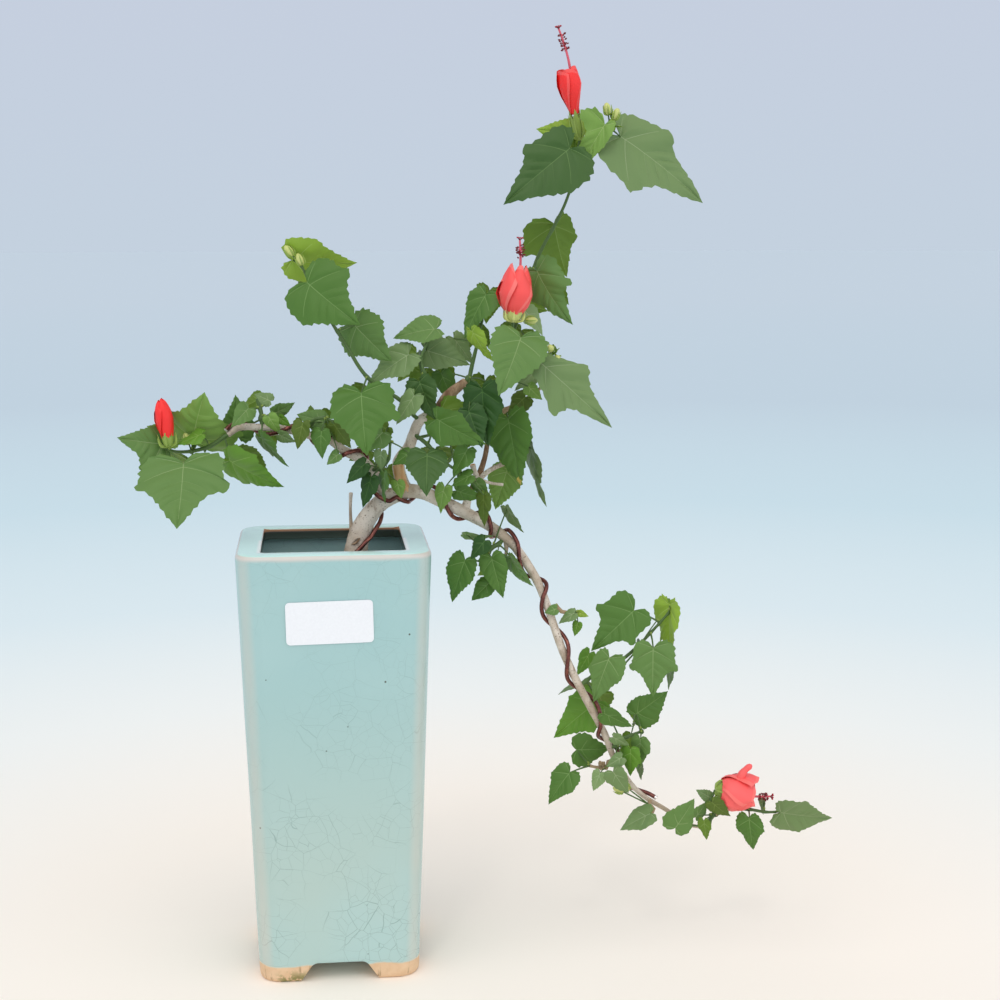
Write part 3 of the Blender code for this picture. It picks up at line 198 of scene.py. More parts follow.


# Each leaf's tone below holds painted light and shade as well as its own green: a leaf gets a lighter
# or darker tone for how lit it hangs, and a greyer one for a painted sheen.
MASSES = {
    "top_foliage": mass(
        "top_bough",
        stems=[[(106, 23, 374), (113, 24, 393), (123, 26, 424), (132, 26, 441), (142, 26, 463),
                (148, 26, 494)],
               [(145, 26, 472), (158, 24, 490), (166, 22, 500)]],
        leaves=[(152, 496, 172, 30, 0, 20, 32), (143, 489, -141, 53, 18, 12, 6),
                (163, 503, -122, 35, 5, 8, 14), (170, 497, -33, 65, 8, -28, 28),
                (133, 446, -80, 34, -15, 165, 36), (122, 418, -65, 39, 18, 30, 10),
                (115, 393, -45, 19, 0, -45, 20)],
        flowers=[(148, 26, 493, 101, 66, 0.55, "open")],
        buds=[(164, 20, 511), (169, 20, 508)],
        alone=(0,), sprout=1,
        tones="young deep bright dusty mid soft pale",
        looks={0: dict(lobed=0.0, broad=(0.9, 0.8)),
               1: dict(lobed=(0.15, 0.8), broad=(0.92, 0.68)),
               2: dict(lobed=(0.0, -0.6), broad=(0.45, 0.55), rear=(1.0, 2.2), fold=0.2, curl=0.0),
               3: dict(lobed=0.6, broad=(0.66, 0.84), curl=0.0, twist=0.0),
               4: dict(lobed=(0.9, 0.5), broad=(1.35, 0.8)),
               5: dict(lobed=(1.2, 0.4), broad=(0.78, 0.72))}),
    "centre_flower_spray": mass(
        "top_bough",
        stems=[[(103, 6, 352), (107, 3, 370), (108, 0, 388)]],
        leaves=[(113, 380, -110, 40, 40, 5, -14), (125, 359, -146, 21, 0, 50, 12),
                (117, 350, -49, 12, 0, 20, -6)],
        flowers=[(108, 0, 387, 85, 48, 1.0, "open")],
        buds=[(119, 3, 388)],
        tones="soft pale bright"),
    "crown_right_foliage": mass(
        "top_bough",
        stems=[[(104, 15, 334), (115, 14, 340), (126, 13, 349), (131, 12, 366)]],
        leaves=[(123, 365, -41, 58, 5, -48, 2), (116, 343, -138, 16, 10, 20, 4),
                (105, 332, -80, 42, 8, 35, -4), (119, 313, -82, 39, 0, 76, 10),
                (105, 298, -108, 26, 10, 0, 18)],
        buds=[(130, -6, 372), (134, -6, 366)],
        alone=(0, 3), woody=True, sprout=0,
        tones="dusty olive mid dusty bright",
        looks={0: dict(lobed=(0.7, 1.2), broad=(0.6, 0.62), rear=(0.55, 0.6), curl=0.0, twist=0.0),
               2: dict(tip="straw")}),
    "crown_foliage": mass(
        "crown_bough",
        stems=[[(84, 4, 362), (87, 5, 374), (90, 5, 388)]],
        leaves=[(93, 404, -122, 30, 10, 38, 8), (84, 383, -65, 23, 0, 55, -6),
                (90, 351, -87, 35, 10, 28, -20), (72, 377, -52, 20, 0, -45, 24),
                (65, 357, -69, 20, 0, 30, 14), (82, 338, -70, 24, 20, -20, -24)],
        sprout=1,
        tones="mid young dark dusty mid dark"),
    "crown_left_foliage": mass(
        "crown_bough",
        stems=[[(58, -7, 346), (56, -7, 358), (54, -5, 366), (58, -3, 376)]],
        leaves=[(64, 383, -176, 27, 5, 50, 4), (48, 369, -149, 31, 8, 40, -2),
                (55, 370, -16, 29, 5, -25, 14), (53, 354, -71, 26, 5, 20, -6),
                (51, 346, -124, 21, 5, 48, -16)],
        tones="soft dusty dusty deep dusty",
        looks={1: dict(broad=0.85),
               2: dict(broad=0.85)}),
    "upper_left_foliage": mass(
        "crown_bough",
        stems=[[(42, -10, 342), (23, -14, 356), (11, -16, 375), (2, -18, 390), (-8, -18, 407),
                (-12, -16, 417)]],
        leaves=[(-22, 424, -10, 39, 0, 52, -12), (-11, 412, -39, 43, 28, 0, -24),
                (15, 387, -48, 31, 8, 20, -10), (20, 349, -86, 39, 25, 0, -22)],
        buds=[(-21, -15, 429), (-15, -15, 424)],
        alone=(2,), tones="young mid soft mid", sprout=1,
        looks={0: dict(lobed=(0.4, 0.0), broad=(1.1, 0.85)),
               1: dict(lobed=(0.7, 0.3), broad=(1.0, 1.05)),
               2: dict(lobed=(0.2, 0.4), broad=1.1),
               3: dict(lobed=(1.2, 0.3), broad=1.05)}),
    "crown_low_foliage": mass(
        "crown_bough",
        stems=[[(58, -13, 316), (68, -15, 306), (76, -13, 300)]],
        leaves=[(63, 334, -33, 33, 5, 42, -25), (82, 315, -121, 20, 0, 25, -15),
                (58, 313, -89, 29, 45, 0, -24), (68, 292, -106, 17, 0, 30, -16),
                (74, 289, -22, 17, 0, 35, -11), (84, 299, -156, 14, 0, 45, -13),
                (86, 294, -52, 12, 0, 20, -9), (91, 288, -94, 20, 0, 52, -13)],
        tones="mid mid deep bright mid mid soft olive"),
    "inner_left_foliage": mass(
        "left_bough",
        stems=[[(30, -12, 302), (35, -14, 308), (36, -14, 318)]],
        leaves=[(32, 324, -135, 17, 25, 0, -14), (31, 313, -95, 12, 0, 30, -18),
                (22, 306, -139, 17, 0, 35, -18), (25, 298, -107, 20, 0, 40, -16),
                (33, 301, -96, 19, 0, 55, -20), (40, 295, -79, 11, 0, 20, -16),
                (48, 312, -147, 13, 0, 30, -18)],
        tones="soft dusty dark dark mid bright mid"),
    "left_middle_foliage": mass(
        "left_bough",
        stems=[[(-11, -6, 328), (-8, -9, 331), (-2, -10, 332)]],
        leaves=[(-4, 328, 160, 17, 0, 40, -6), (-4, 325, -97, 17, 5, 25, -14),
                (3, 329, -57, 18, 5, 30, -14), (-15, 330, -103, 17, 5, 25, -12),
                (6, 311, -142, 10, 0, 30, -14)],
        tones="soft mid olive olive soft"),
    "left_top_foliage": mass(
        "left_bough",
        stems=[[(-41, 2, 331), (-42, 2, 336), (-44, 2, 342)]],
        leaves=[(-58, 317, 88, 26, 0, 35, 16), (-48, 337, -133, 18, 50, 0, -2),
                (-36, 333, -62, 13, 0, 20, -8), (-34, 333, 25, 14, 0, 25, 4),
                (-30, 332, -43, 9, 0, 20, -6), (-36, 340, 152, 11, 0, 30, 6),
                (-41, 321, -52, 25, 5, 62, -8), (-30, 322, -29, 11, 0, 30, -8)],
        tones="mid soft bright soft fresh dusty mid dusty"),
    "left_end_foliage": mass(
        "left_bough",
        stems=[[(-72, 0, 314), (-83, 0, 311), (-92, -2, 311), (-96, -6, 313)]],
        leaves=[(-98, 315, 169, 29, 28, 0, 0), (-85, 307, -87, 45, 42, 0, -16),
                (-84, 316, 71, 38, 40, 0, 10), (-75, 322, -160, 17, 0, 60, 0),
                (-61, 307, -34, 37, 5, 45, -5)],
        flowers=[(-95, -6, 314, 99, 30, 1.0, "closed")],
        buds=[(-86, 3, 318)],
        alone=(2,), sprout=1,
        tones="soft soft bright fresh fresh",
        looks={0: dict(lobed=(1.2, 0.2), broad=(1.1, 0.8)),
               1: dict(lobed=(1.0, 0.6), broad=(1.2, 1.3)),
               2: dict(lobed=(1.0, 0.8), broad=(1.0, 1.5)),
               4: dict(lobed=(0.5, 0.7), broad=(1.0, 0.8))}),
    "cascade_inner_foliage": mass(
        "cascade_bough_upper",
        stems=[[(96, -6, 254), (93, -8, 250), (90, -8, 245)]],
        leaves=[(79, 263, -14, 18, 0, 62, -13), (92, 261, -131, 15, 0, 30, -16),
                (80, 248, -111, 28, 5, 35, -10), (95, 250, -77, 27, 5, 25, -13),
                (94, 232, -135, 16, 0, 20, -4), (106, 249, -61, 23, 5, 58, -10),
                (104, 278, -63, 19, 0, 62, -6)],
        alone=(2, 3),
        tones="soft dark mid mid mid soft dusty",
        looks={2: dict(broad=0.85),
               3: dict(broad=0.72)}),
    "cascade_mid_foliage": mass(
        "cascade_bough_lower",
        stems=[[(137, -8, 215), (146, -7, 214)]],
        leaves=[(145, 215, -155, 12, 0, 20, -12), (147, 208, -105, 9, 0, 25, -6),
                (147, 214, -27, 7, 0, 25, -5), (134, 218, -161, 8, 0, 20, -14)],
        woody=True,
        tones="dusty fresh young soft"),
    "cascade_side_foliage": mass(
        "cascade_bough_lower",
        stems=[[(156, -6, 175), (176, -3, 186), (191, 0, 200), (202, 2, 212)]],
        leaves=[(182, 215, -138, 37, 15, 12, 0), (166, 189, -111, 31, 0, 5, -12),
                (155, 187, -120, 17, 0, 40, 5), (192, 194, -91, 31, 10, 5, -8),
                (203, 218, -93, 34, 0, 58, 4), (206, 205, -121, 16, 0, 150, 10),
                (204, 177, -98, 14, 0, 72, 5),
                (161, 155, -142, 37, 0, 25, 12), (146, 166, -159, 12, 0, 82, 6)],
        alone=(2,),
        tones="mid soft fresh soft young young dusty fresh",
        looks={0: dict(lobed=(1.2, 1.0), broad=(0.75, 0.92)),
               1: dict(lobed=(0.2, 0.5), broad=(0.85, 0.65)),
               3: dict(lobed=1.0, broad=(0.95, 0.88)),
               4: dict(fold=0.3),
               7: dict(lobed=(0.5, 0.3), broad=0.78)}),
    "cascade_low_left_foliage": mass(
        "cascade_bough_lower",
        stems=[[(165, 3, 115), (159, 4, 115), (155, 4, 116)]],
        leaves=[(146, 125, 0, 22, 0, 10, 8), (143, 117, -129, 25, 5, 30, -10),
                (161, 115, -110, 13, 0, 30, -6)],
        alone=(0, 1),
        tones="mid mid pale", woody=True, scales=(163, 2, 117),
        looks={0: dict(broad=1.15),
               1: dict(broad=0.8)}),
    "cascade_low_right_foliage": mass(
        "cascade_bough_lower",
        stems=[[(173, -3, 134), (180, -2, 137), (186, -1, 139)]],
        leaves=[(162, 154, -28, 20, 0, 40, -10), (182, 148, 34, 25, 0, 12, 4),
                (168, 138, -30, 12, 0, 20, -9), (185, 137, -93, 19, 0, 40, -5),
                (179, 131, -92, 18, 0, 45, -9), (174, 126, -148, 12, 0, 30, -11),
                (168, 118, -58, 18, 0, 20, -13), (186, 118, -93, 12, 0, 65, 6)],
        alone=(1,),
        tones="mid mid dusty soft fresh dusty dusty dusty",
        looks={1: dict(lobed=(0.2, 0.4), broad=(0.85, 1.15))}),
    "cascade_under_foliage": mass(
        "cascade_bough_lower",
        stems=[[(194, -1, 90), (192, -3, 87)]],
        leaves=[(192, 90, -154, 22, 0, 60, -6)],
        buds=[(176, -6, 106), (172, -6, 104)],
        alone=(0,), tones="dusty", looks={0: dict(broad=0.95)}, woody=True),
    "cascade_tip_foliage": mass(
        "cascade_bough_lower",
        stems=[[(230, -1, 86), (240, -2, 90), (252, -2, 90), (262, -1, 88), (269, -1, 88)],
               [(232, -2, 87), (228, -4, 94), (231, -4, 103)]],
        leaves=[(206, 80, 56, 22, 5, 8, -9), (219, 86, 51, 13, 0, 30, -5),
                (228, 98, -44, 16, 0, 20, -11), (224, 86, -84, 14, 0, 30, -6),
                (251, 89, -86, 23, 0, 30, -12), (270, 89, -10, 34, 0, 32, -4),
                (261, 96, -89, 12, 0, 72, 5), (229, 96, 147, 10, 0, 25, 2)],
        flowers=[(231, -4, 103, -7, 34, 1.9, "open")],
        alone=(0, 2, 4, 5), scales=(233, -3, 90),
        tones="soft soft olive under mid dusty soft dusty",
        looks={0: dict(lobed=0.0, broad=(1.1, 0.9)),
               3: dict(broad=0.7),
               4: dict(lobed=0.4, broad=0.85),
               5: dict(broad=1.0)}),
}

# A flower's outline along its axis, over its length: distance, radius.
FLOWER_PROFILES = {
    "open": [(0.0, 0.022), (0.05, 0.10), (0.22, 0.125), (0.26, 0.155), (0.45, 0.19),
             (0.62, 0.13), (0.66, 0.03), (0.84, 0.025), (0.87, 0.055), (0.99, 0.045)],
    "closed": [(0.0, 0.022), (0.05, 0.09), (0.20, 0.12), (0.35, 0.15), (0.62, 0.17),
               (0.85, 0.13), (0.99, 0.04)],
}
BUD_RADIUS = 2.4 * MM


# ---------------------------------------------------------------- looks of the plant
TWIG_STEP = 2.5 * MM
WIRE_SMOOTH = 1.2 * MM
WIRE_SIDES = 12
STALK_LOOK = (0.62, 0.42)         # mm, a leaf stalk's radius at the stem and at the blade
LEAF_SHEET = 0.28 * MM            # a blade's thickness
LEAF_VEIN = 0.22 * MM             # half a vein's width where it leaves the rib
BIG_LEAF = 22                     # mm; longer blades get more teeth
PLAIN_LEAF = 13                   # mm; shorter ones have no side lobe

# A blade's half margin from the stalk to the tip, plain and with a side lobe.
PLAIN_HALF = [(0.0, 0.04), (0.10, -0.06), (0.22, -0.085), (0.33, -0.03), (0.40, 0.08),
              (0.425, 0.20), (0.40, 0.34), (0.335, 0.48), (0.255, 0.62), (0.165, 0.75),
              (0.075, 0.88), (0.0, 1.0)]
LOBED_HALF = [(0.0, 0.04), (0.10, -0.06), (0.23, -0.10), (0.40, -0.02), (0.43, 0.12),
              (0.44, 0.30), (0.51, 0.45), (0.34, 0.50), (0.22, 0.61), (0.15, 0.74),
              (0.07, 0.88), (0.0, 1.0)]

# Greens a blade can take, as sRGB: blade, veins. They are partly the leaves' own greens and
# partly painted light: the darker ones paint in shade, the lighter ones light, and the greyer,
# paler ones a painted sheen. The last one is for a withered tip.
TONES = {
    "dark": ((46, 82, 30), (76, 112, 52)),
    "deep": ((66, 98, 44), (98, 128, 70)),
    "olive": ((86, 108, 36), (114, 134, 62)),
    "mid": ((82, 120, 48), (116, 148, 82)),
    "soft": ((98, 132, 66), (134, 158, 100)),
    "dusty": ((114, 140, 86), (148, 166, 120)),
    "fresh": ((100, 144, 46), (136, 168, 84)),
    "bright": ((122, 158, 72), (154, 180, 106)),
    "pale": ((138, 164, 108), (164, 184, 138)),
    "young": ((148, 180, 62), (178, 202, 104)),
    "under": ((100, 130, 40), (130, 154, 78)),
    "straw": ((186, 170, 84), (196, 184, 110)),
}
VEIN_FADE = 0.4                   # how far a faint vein's colour goes towards a vein's

# A bloom by mass. Over its length: where its petals start (base) and how far they reach, their
# widest radius (width), its calyx's radius and height. The petals' outline as shares of their
# height and of the widest radius, and their ruffle over it; how much lower a petal's sides end
# than its middle (point), and the colours of its middle and its edge. The bracts' number and
# their spread over the calyx; the green of both. Whether the column shows. A flap is the number
# of the petal that stands off and how far; a finger is one more petal, rolled up and raised.
BLOOMS = {
    "top_foliage": dict(
        base=0.24, petals=0.40, width=0.100, calyx=(0.046, 0.23), ruffle=0.03, petal="petal_red",
        edge="petal_coral", point=0.06,
        outline=((0, 0.34), (0.2, 0.52), (0.45, 0.84), (0.66, 1.0), (0.85, 0.95), (1, 0.84)),
        bracts=(5, 1.2), green="calyx_green", column=True),
    "centre_flower_spray": dict(
        base=0.09, petals=0.61, width=0.205, calyx=(0.098, 0.15), ruffle=0.07, petal="petal_coral",
        edge="petal_pale", point=0.34,
        outline=((0, 0.40), (0.18, 0.78), (0.42, 1.0), (0.72, 0.84), (1, 0.50)),
        bracts=(6, 1.5), green="bud_pale", column=True),
    "left_end_foliage": dict(
        base=0.20, petals=0.79, width=0.165, calyx=(0.115, 0.27), ruffle=0.0, petal="petal_red",
        edge="petal_red", point=0.16,
        outline=((0, 0.62), (0.25, 0.86), (0.5, 1.0), (0.78, 0.88), (0.92, 0.62), (1, 0.34)),
        bracts=(6, 1.6), green="calyx_green", column=False),
    "cascade_tip_foliage": dict(
        base=0.10, petals=0.64, width=0.31, calyx=(0.12, 0.15), ruffle=0.12, petal="petal_pink",
        edge="petal_pale", point=0.20, flap=(3, 0.5), finger=True,
        outline=((0, 0.66), (0.12, 0.86), (0.4, 1.0), (0.7, 0.98), (1, 0.70)),
        bracts=(5, 1.6), green="calyx_green", column=True),
}


# ---------------------------------------------------------------- materials
def linear(colour):
    """Linear colour of an sRGB one given as 0 to 255."""
    shares = [part / 255 for part in colour]
    return tuple(c / 12.92 if c <= 0.04045 else ((c + 0.055) / 1.055) ** 2.4 for c in shares) + (1.0,)


class Graph:
    """Short hand for a material's node tree."""

    def __init__(self, name, roughness=0.5, colour=None, **sockets):
        self.material = bpy.data.materials.new(name)
        self.material.use_nodes = True
        self.tree = self.material.node_tree
        self.shader = self.tree.nodes["Principled BSDF"]
        self.shader.inputs["Roughness"].default_value = roughness
        if colour:
            self.shader.inputs["Base Color"].default_value = linear(colour)
            self.material.diffuse_color = linear(colour)
        for socket, value in sockets.items():
            self.shader.inputs[socket.replace("_", " ")].default_value = value
        self.place = None

    def node(self, kind, inputs=None, **settings):
        node = self.tree.nodes.new(kind)
        for key, value in settings.items():
            setattr(node, key, value)
        for key, value in (inputs or {}).items():
            if isinstance(value, bpy.types.NodeSocket):
                self.tree.links.new(value, node.inputs[key])
            else:
                node.inputs[key].default_value = value
        return node

    def position(self):
        """The surface's place in the plant's or pot's axes."""
        if self.place is None:
            coordinates = self.node("ShaderNodeTexCoord")
            self.place = self.node("ShaderNodeVectorMath", {0: coordinates.outputs["Object"],
                                                            1: tuple(-CENTRE)},
                                   operation="ADD").outputs[0]
        return self.place

    def math(self, operation, a, b=0.0, c=0.0, clamp=False):
        return self.node("ShaderNodeMath", {0: a, 1: b, 2: c}, operation=operation,
                         use_clamp=clamp).outputs[0]

    def product(self, *factors):
        return functools.reduce(lambda a, b: self.math("MULTIPLY", a, b), factors)

    def size(self, value):
        return self.math("ABSOLUTE", value)

    def larger(self, a, b):
        return self.math("MAXIMUM", a, b)

    def fade(self, value, low, high):
        """1 below low, 0 above high, smooth between."""
        return self.math("SUBTRACT", 1.0, self.step(value, low, high))

    def remap(self, value, ends, results):
        """The value's place between two ends, as the same place between two results."""
        return self.node("ShaderNodeMapRange", {0: value, 1: ends[0], 2: ends[1], 3: results[0],
                                                4: results[1]}).outputs[0]

    def cells(self, scale, feature, vector=None):
        """How far the nearest random cell's middle or edge is, over a cell's size."""
        return self.node("ShaderNodeTexVoronoi", {"Vector": vector or self.position(), "Scale": scale},
                         feature=feature).outputs["Distance"]

    def axis(self, index):
        return self.node("ShaderNodeSeparateXYZ", {0: self.position()}).outputs[index]

    def noise(self, scale, detail=3.0, roughness=0.5, vector=None, stretch=None):
        vector = vector or self.position()
        if stretch:
            vector = self.node("ShaderNodeVectorMath", {0: vector, 1: stretch},
                               operation="MULTIPLY").outputs[0]
        return self.node("ShaderNodeTexNoise", {"Vector": vector, "Scale": scale, "Detail": detail,
                                                "Roughness": roughness}).outputs["Fac"]

    def step(self, value, low, high):
        """0 below low, 1 above high, smooth between."""
        return self.node("ShaderNodeMapRange", {0: value, 1: low, 2: high, 3: 0.0, 4: 1.0},
                         interpolation_type="SMOOTHSTEP").outputs[0]

    def mix(self, factor, a, b):
        node = self.tree.nodes.new("ShaderNodeMix")
        node.data_type = "RGBA"
        for socket, value in ((0, factor), (6, a), (7, b)):
            if isinstance(value, bpy.types.NodeSocket):
                self.tree.links.new(value, node.inputs[socket])
            else:
                node.inputs[socket].default_value = value if socket == 0 else linear(value)
        return node.outputs[2]

    def lay(self, under, colour, *shares):
        """A colour laid over the one under it, as far as the product of the shares."""
        return self.mix(self.product(*shares), under, colour)

    def feed(self, socket, value):
        self.tree.links.new(value, self.shader.inputs[socket])

    def bump(self, height, strength, distance):
        node = self.node("ShaderNodeBump", {"Height": height, "Strength": strength,
                                            "Distance": distance})
        self.feed("Normal", node.outputs[0])


def plain_material(name, colour, roughness, grain=None, strength=0.2, distance=0.1 * MM, **sockets):
    graph = Graph(name, roughness, colour, **sockets)
    if grain:
        graph.bump(graph.noise(grain), strength, distance)
    return graph.material


def bark_material():
    graph = Graph("bark", 0.85)
    grain = graph.noise(220, 5, 0.6, stretch=(1.0, 1.0, 0.35))
    patches = graph.noise(60, 3)
    specks = graph.noise(900, 2, 0.4, stretch=(1.0, 1.0, 1.6))
    colour = graph.mix(graph.step(patches, 0.36, 0.66), (184, 166, 144), (226, 214, 198))
    colour = graph.mix(graph.step(grain, 0.52, 0.72), colour, (164, 144, 124))
    colour = graph.mix(graph.step(specks, 0.62, 0.72), colour, (128, 108, 88))
    graph.feed("Base Color", colour)
    height = graph.math("ADD", grain, graph.math("MULTIPLY", specks, 0.4))
    graph.bump(height, 0.55, 0.35 * MM)
    return graph.material


def grained_material(name, roughness, grain, fade, colours, strength, distance, **sockets):
    """Two colours in a grain (noise's scale, detail, roughness, stretch) that gives the relief too."""
    graph = Graph(name, roughness, **sockets)
    grain = graph.noise(*grain[:3], stretch=grain[3])
    graph.feed("Base Color", graph.mix(graph.step(grain, *fade), *colours))
    graph.bump(grain, strength, distance)
    return graph.material


def soil_material():
    graph = Graph("soil_grains", 0.95)
    patches = graph.noise(260, 4, 0.6)
    graph.feed("Base Color", graph.mix(graph.step(patches, 0.35, 0.68), (52, 42, 34), (104, 88, 70)))
    graph.bump(graph.noise(900, 3), 0.5, 0.3 * MM)
    return graph.material


# The pot's colours. The lip and shine colours are painted highlights on the rim.
CELADON = {
    "low": (180, 203, 195), "high": (164, 201, 200), "cloud": (176, 207, 204),
    "crack": (104, 132, 128), "pinhole": (88, 92, 80), "worn": (214, 208, 194),
    "lip": (206, 246, 240), "shine": (250, 255, 253), "thin": (228, 210, 198),
    "well_left": (122, 158, 150), "well_right": (62, 84, 76), "well_crack": (40, 62, 60),
    "under_lip": (58, 66, 58), "bare": (176, 120, 76),
    "clay_dark": (214, 176, 136), "clay_light": (238, 208, 172), "moss": (116, 120, 58),
    "drip": (132, 104, 70),
}
# The crackle's two nets: cells in a metre, a crack's half width over a cell, and the noise
# between which it fades in.
CRACK_NETS = ((62.0, 0.009, 0.38, 0.56), (128.0, 0.012, 0.40, 0.60))
CRACK_WARP = 0.006                # m, how far the cells are pulled about
MOSS_ACROSS = -27 * MM            # where moss grows on a foot


def crackle(graph):
    """Two nets of hairlines in the glaze, a wide and a fine one, both broken up."""
    warp = graph.node("ShaderNodeTexNoise", {"Vector": graph.position(), "Scale": 40.0, "Detail": 2.0})
    warped = graph.node("ShaderNodeVectorMath",
                        {0: warp.outputs["Color"], 1: (CRACK_WARP,) * 3, 2: graph.position()},
                        operation="MULTIPLY_ADD").outputs[0]
    return graph.larger(*(
        graph.product(graph.fade(graph.cells(scale, "DISTANCE_TO_EDGE", warped), 0.0, width),
                      graph.step(graph.noise(22, 2), low, high))
        for scale, width, low, high in CRACK_NETS))


def outer_glaze(graph, crack, x, y, z):
    """The walls: clouded, crackled, with pinholes, and worn along the corners."""
    colour = graph.mix(graph.step(z, 40 * MM, 240 * MM), CELADON["low"], CELADON["high"])
    colour = graph.lay(colour, CELADON["cloud"], graph.step(graph.noise(9, 3), 0.35, 0.75))
    more_below = graph.remap(z, (0.02, 0.2), (0.62, 0.22))
    colour = graph.lay(colour, CELADON["crack"], crack, more_below)
    holes = graph.fade(graph.cells(70.0, "F1"), 0.035, 0.06)
    colour = graph.lay(colour, CELADON["pinhole"], holes, graph.step(graph.noise(30, 1), 0.55, 0.57))
    slope = 0.5 * (RIM_WIDTH - FOOT_WIDTH) / POT_HEIGHT
    half = graph.math("MULTIPLY_ADD", z, slope, 0.5 * FOOT_WIDTH)
    reach = graph.math("ADD", graph.size(x), graph.size(y))
    to_corner = graph.math("SUBTRACT", reach, graph.product(half, 2.0))
    unevenly = graph.remap(graph.noise(30, 3), (0.2, 0.7), (0.6, 1.0))
    worn = graph.product(graph.step(to_corner, -10.4 * MM, -7.2 * MM), unevenly)
    return graph.lay(colour, CELADON["worn"], worn, 0.62)


def rim_glaze(graph, colour, x, y, z):
    """The rim: brighter on its top and glinting along the lip's front, both painted highlights, and
    thin along its outer edge.
    """
    # painted highlight: the rim's top is made brighter than the walls, as if lit from above
    lip = graph.step(z, POT_HEIGHT - 0.9 * MM, POT_HEIGHT - 0.2 * MM)
    colour = graph.mix(lip, colour, CELADON["lip"])
    out = graph.larger(graph.size(x), graph.size(y))
    # painted highlight: a near-white glint along the front of the mouth's edge
    shine = graph.fade(out, 0.5 * MOUTH_WIDTH + 1.2 * MM, 0.5 * MOUTH_WIDTH + 3.4 * MM)
    shine = graph.product(shine, lip, graph.math("LESS_THAN", y, 0.0))
    colour = graph.lay(colour, CELADON["shine"], shine, 0.85)
    wander = graph.math("ADD", z, graph.product(graph.noise(45, 2), 1.6 * MM))
    thin = graph.product(graph.step(wander, POT_HEIGHT - 3.4 * MM, POT_HEIGHT - 0.6 * MM),
                         graph.fade(z, POT_HEIGHT - 0.7 * MM, POT_HEIGHT - 0.1 * MM))
    return graph.lay(colour, CELADON["thin"], thin, 0.72)


def well_glaze(graph, colour, crack, x, y, z):
    """The inside, in shade towards the right and the top, with bare clay under the far lip."""
    out = graph.larger(graph.size(x), graph.size(y))
    inside = graph.product(graph.math("LESS_THAN", out, 0.5 * MOUTH_WIDTH + 0.4 * MM),
                           graph.step(z, 0.03, 0.05))
    well = graph.mix(graph.step(x, 0.0, 46 * MM), CELADON["well_left"], CELADON["well_right"])
    well = graph.lay(well, CELADON["well_crack"], crack, 0.6)
    well = graph.mix(graph.step(z, POT_HEIGHT - 15 * MM, POT_HEIGHT - 2 * MM), well,
                     CELADON["under_lip"])
    colour = graph.mix(inside, colour, well)
    far_lip = graph.product(graph.step(z, POT_HEIGHT - 2.2 * MM, POT_HEIGHT - 1.2 * MM),
                            graph.step(y, 20 * MM, 30 * MM))
    return graph.lay(colour, CELADON["bare"], graph.product(inside, far_lip), 0.8)


def foot_clay(graph, x, z):
    """The bare clay of the feet, with moss on one and drips of glaze stain."""
    body = graph.mix(graph.noise(180, 4), CELADON["clay_dark"], CELADON["clay_light"])
    moss = graph.product(graph.step(graph.noise(260, 4, 0.6), 0.42, 0.54),
                         graph.fade(z, 2 * MM, 9 * MM),
                         graph.fade(graph.size(graph.math("ADD", x, -MOSS_ACROSS)), 5 * MM, 13 * MM))
    body = graph.lay(body, CELADON["moss"], moss, 0.85)
    streaks = graph.noise(300, 3, 0.6, stretch=(1.0, 1.0, 0.15))
    drips = graph.product(graph.step(streaks, 0.58, 0.70), graph.fade(z, 6 * MM, 13 * MM))
    return graph.lay(body, CELADON["drip"], drips, 0.7)


def glaze_material():
    """Celadon glaze over the pot, and the clay left bare below it."""
    graph = Graph("glaze", 0.2)
    x, y, z = (graph.axis(k) for k in range(3))
    crack = crackle(graph)
    colour = outer_glaze(graph, crack, x, y, z)
    colour = rim_glaze(graph, colour, x, y, z)
    colour = well_glaze(graph, colour, crack, x, y, z)
    wander = graph.math("ADD", z, graph.product(graph.noise(70, 3), 4 * MM))
    clay = graph.fade(wander, GLAZE_END + 1.2 * MM, GLAZE_END + 2.6 * MM)
    graph.feed("Base Color", graph.mix(clay, colour, foot_clay(graph, x, z)))
    graph.feed("Roughness", graph.remap(clay, (0.0, 1.0), (0.20, 0.88)))
    relief = graph.math("MULTIPLY_ADD", crack, -0.25, graph.product(graph.noise(26, 3), 1.6))
    relief = graph.math("ADD", relief, graph.product(clay, graph.noise(500, 4)))
    graph.bump(relief, 0.35, 0.35 * MM)
    return graph.material


# ---------------------------------------------------------------- meshes
def add_object(name, data):
    obj = bpy.data.objects.new(name, data)
    bpy.context.scene.collection.objects.link(obj)
    return obj


def take_mesh(name, bm):
    """The bmesh as a mesh, which ends the bmesh."""
    mesh = bpy.data.meshes.new(name)
    bm.to_mesh(mesh)
    bm.free()
    return mesh


def ring_walls(rings, sides):
    """Faces between rings of points that follow one another."""
    return [(i * sides + k, i * sides + n, (i + 1) * sides + n, (i + 1) * sides + k)
            for i in range(rings - 1) for k, n in zip(range(sides), [*range(1, sides), 0])]


def ring_solid(rings, sides):
    """The same faces with a cap at each end."""
    last = (rings - 1) * sides
    caps = [tuple(range(sides - 1, -1, -1)), tuple(range(last, last + sides))]
    return ring_walls(rings, sides) + caps


def grid_faces(rows, columns):
    """Faces of a grid of points, and its rim in the same sense."""
    faces = [(a, a + 1, a + columns + 1, a + columns)
             for i in range(rows - 1) for a in range(i * columns, (i + 1) * columns - 1)]
    rim = list(range(columns)) + [i * columns + columns - 1 for i in range(1, rows)]
    rim += [(rows - 1) * columns + j for j in range(columns - 2, -1, -1)]
    return faces, rim + [i * columns for i in range(rows - 2, 0, -1)]


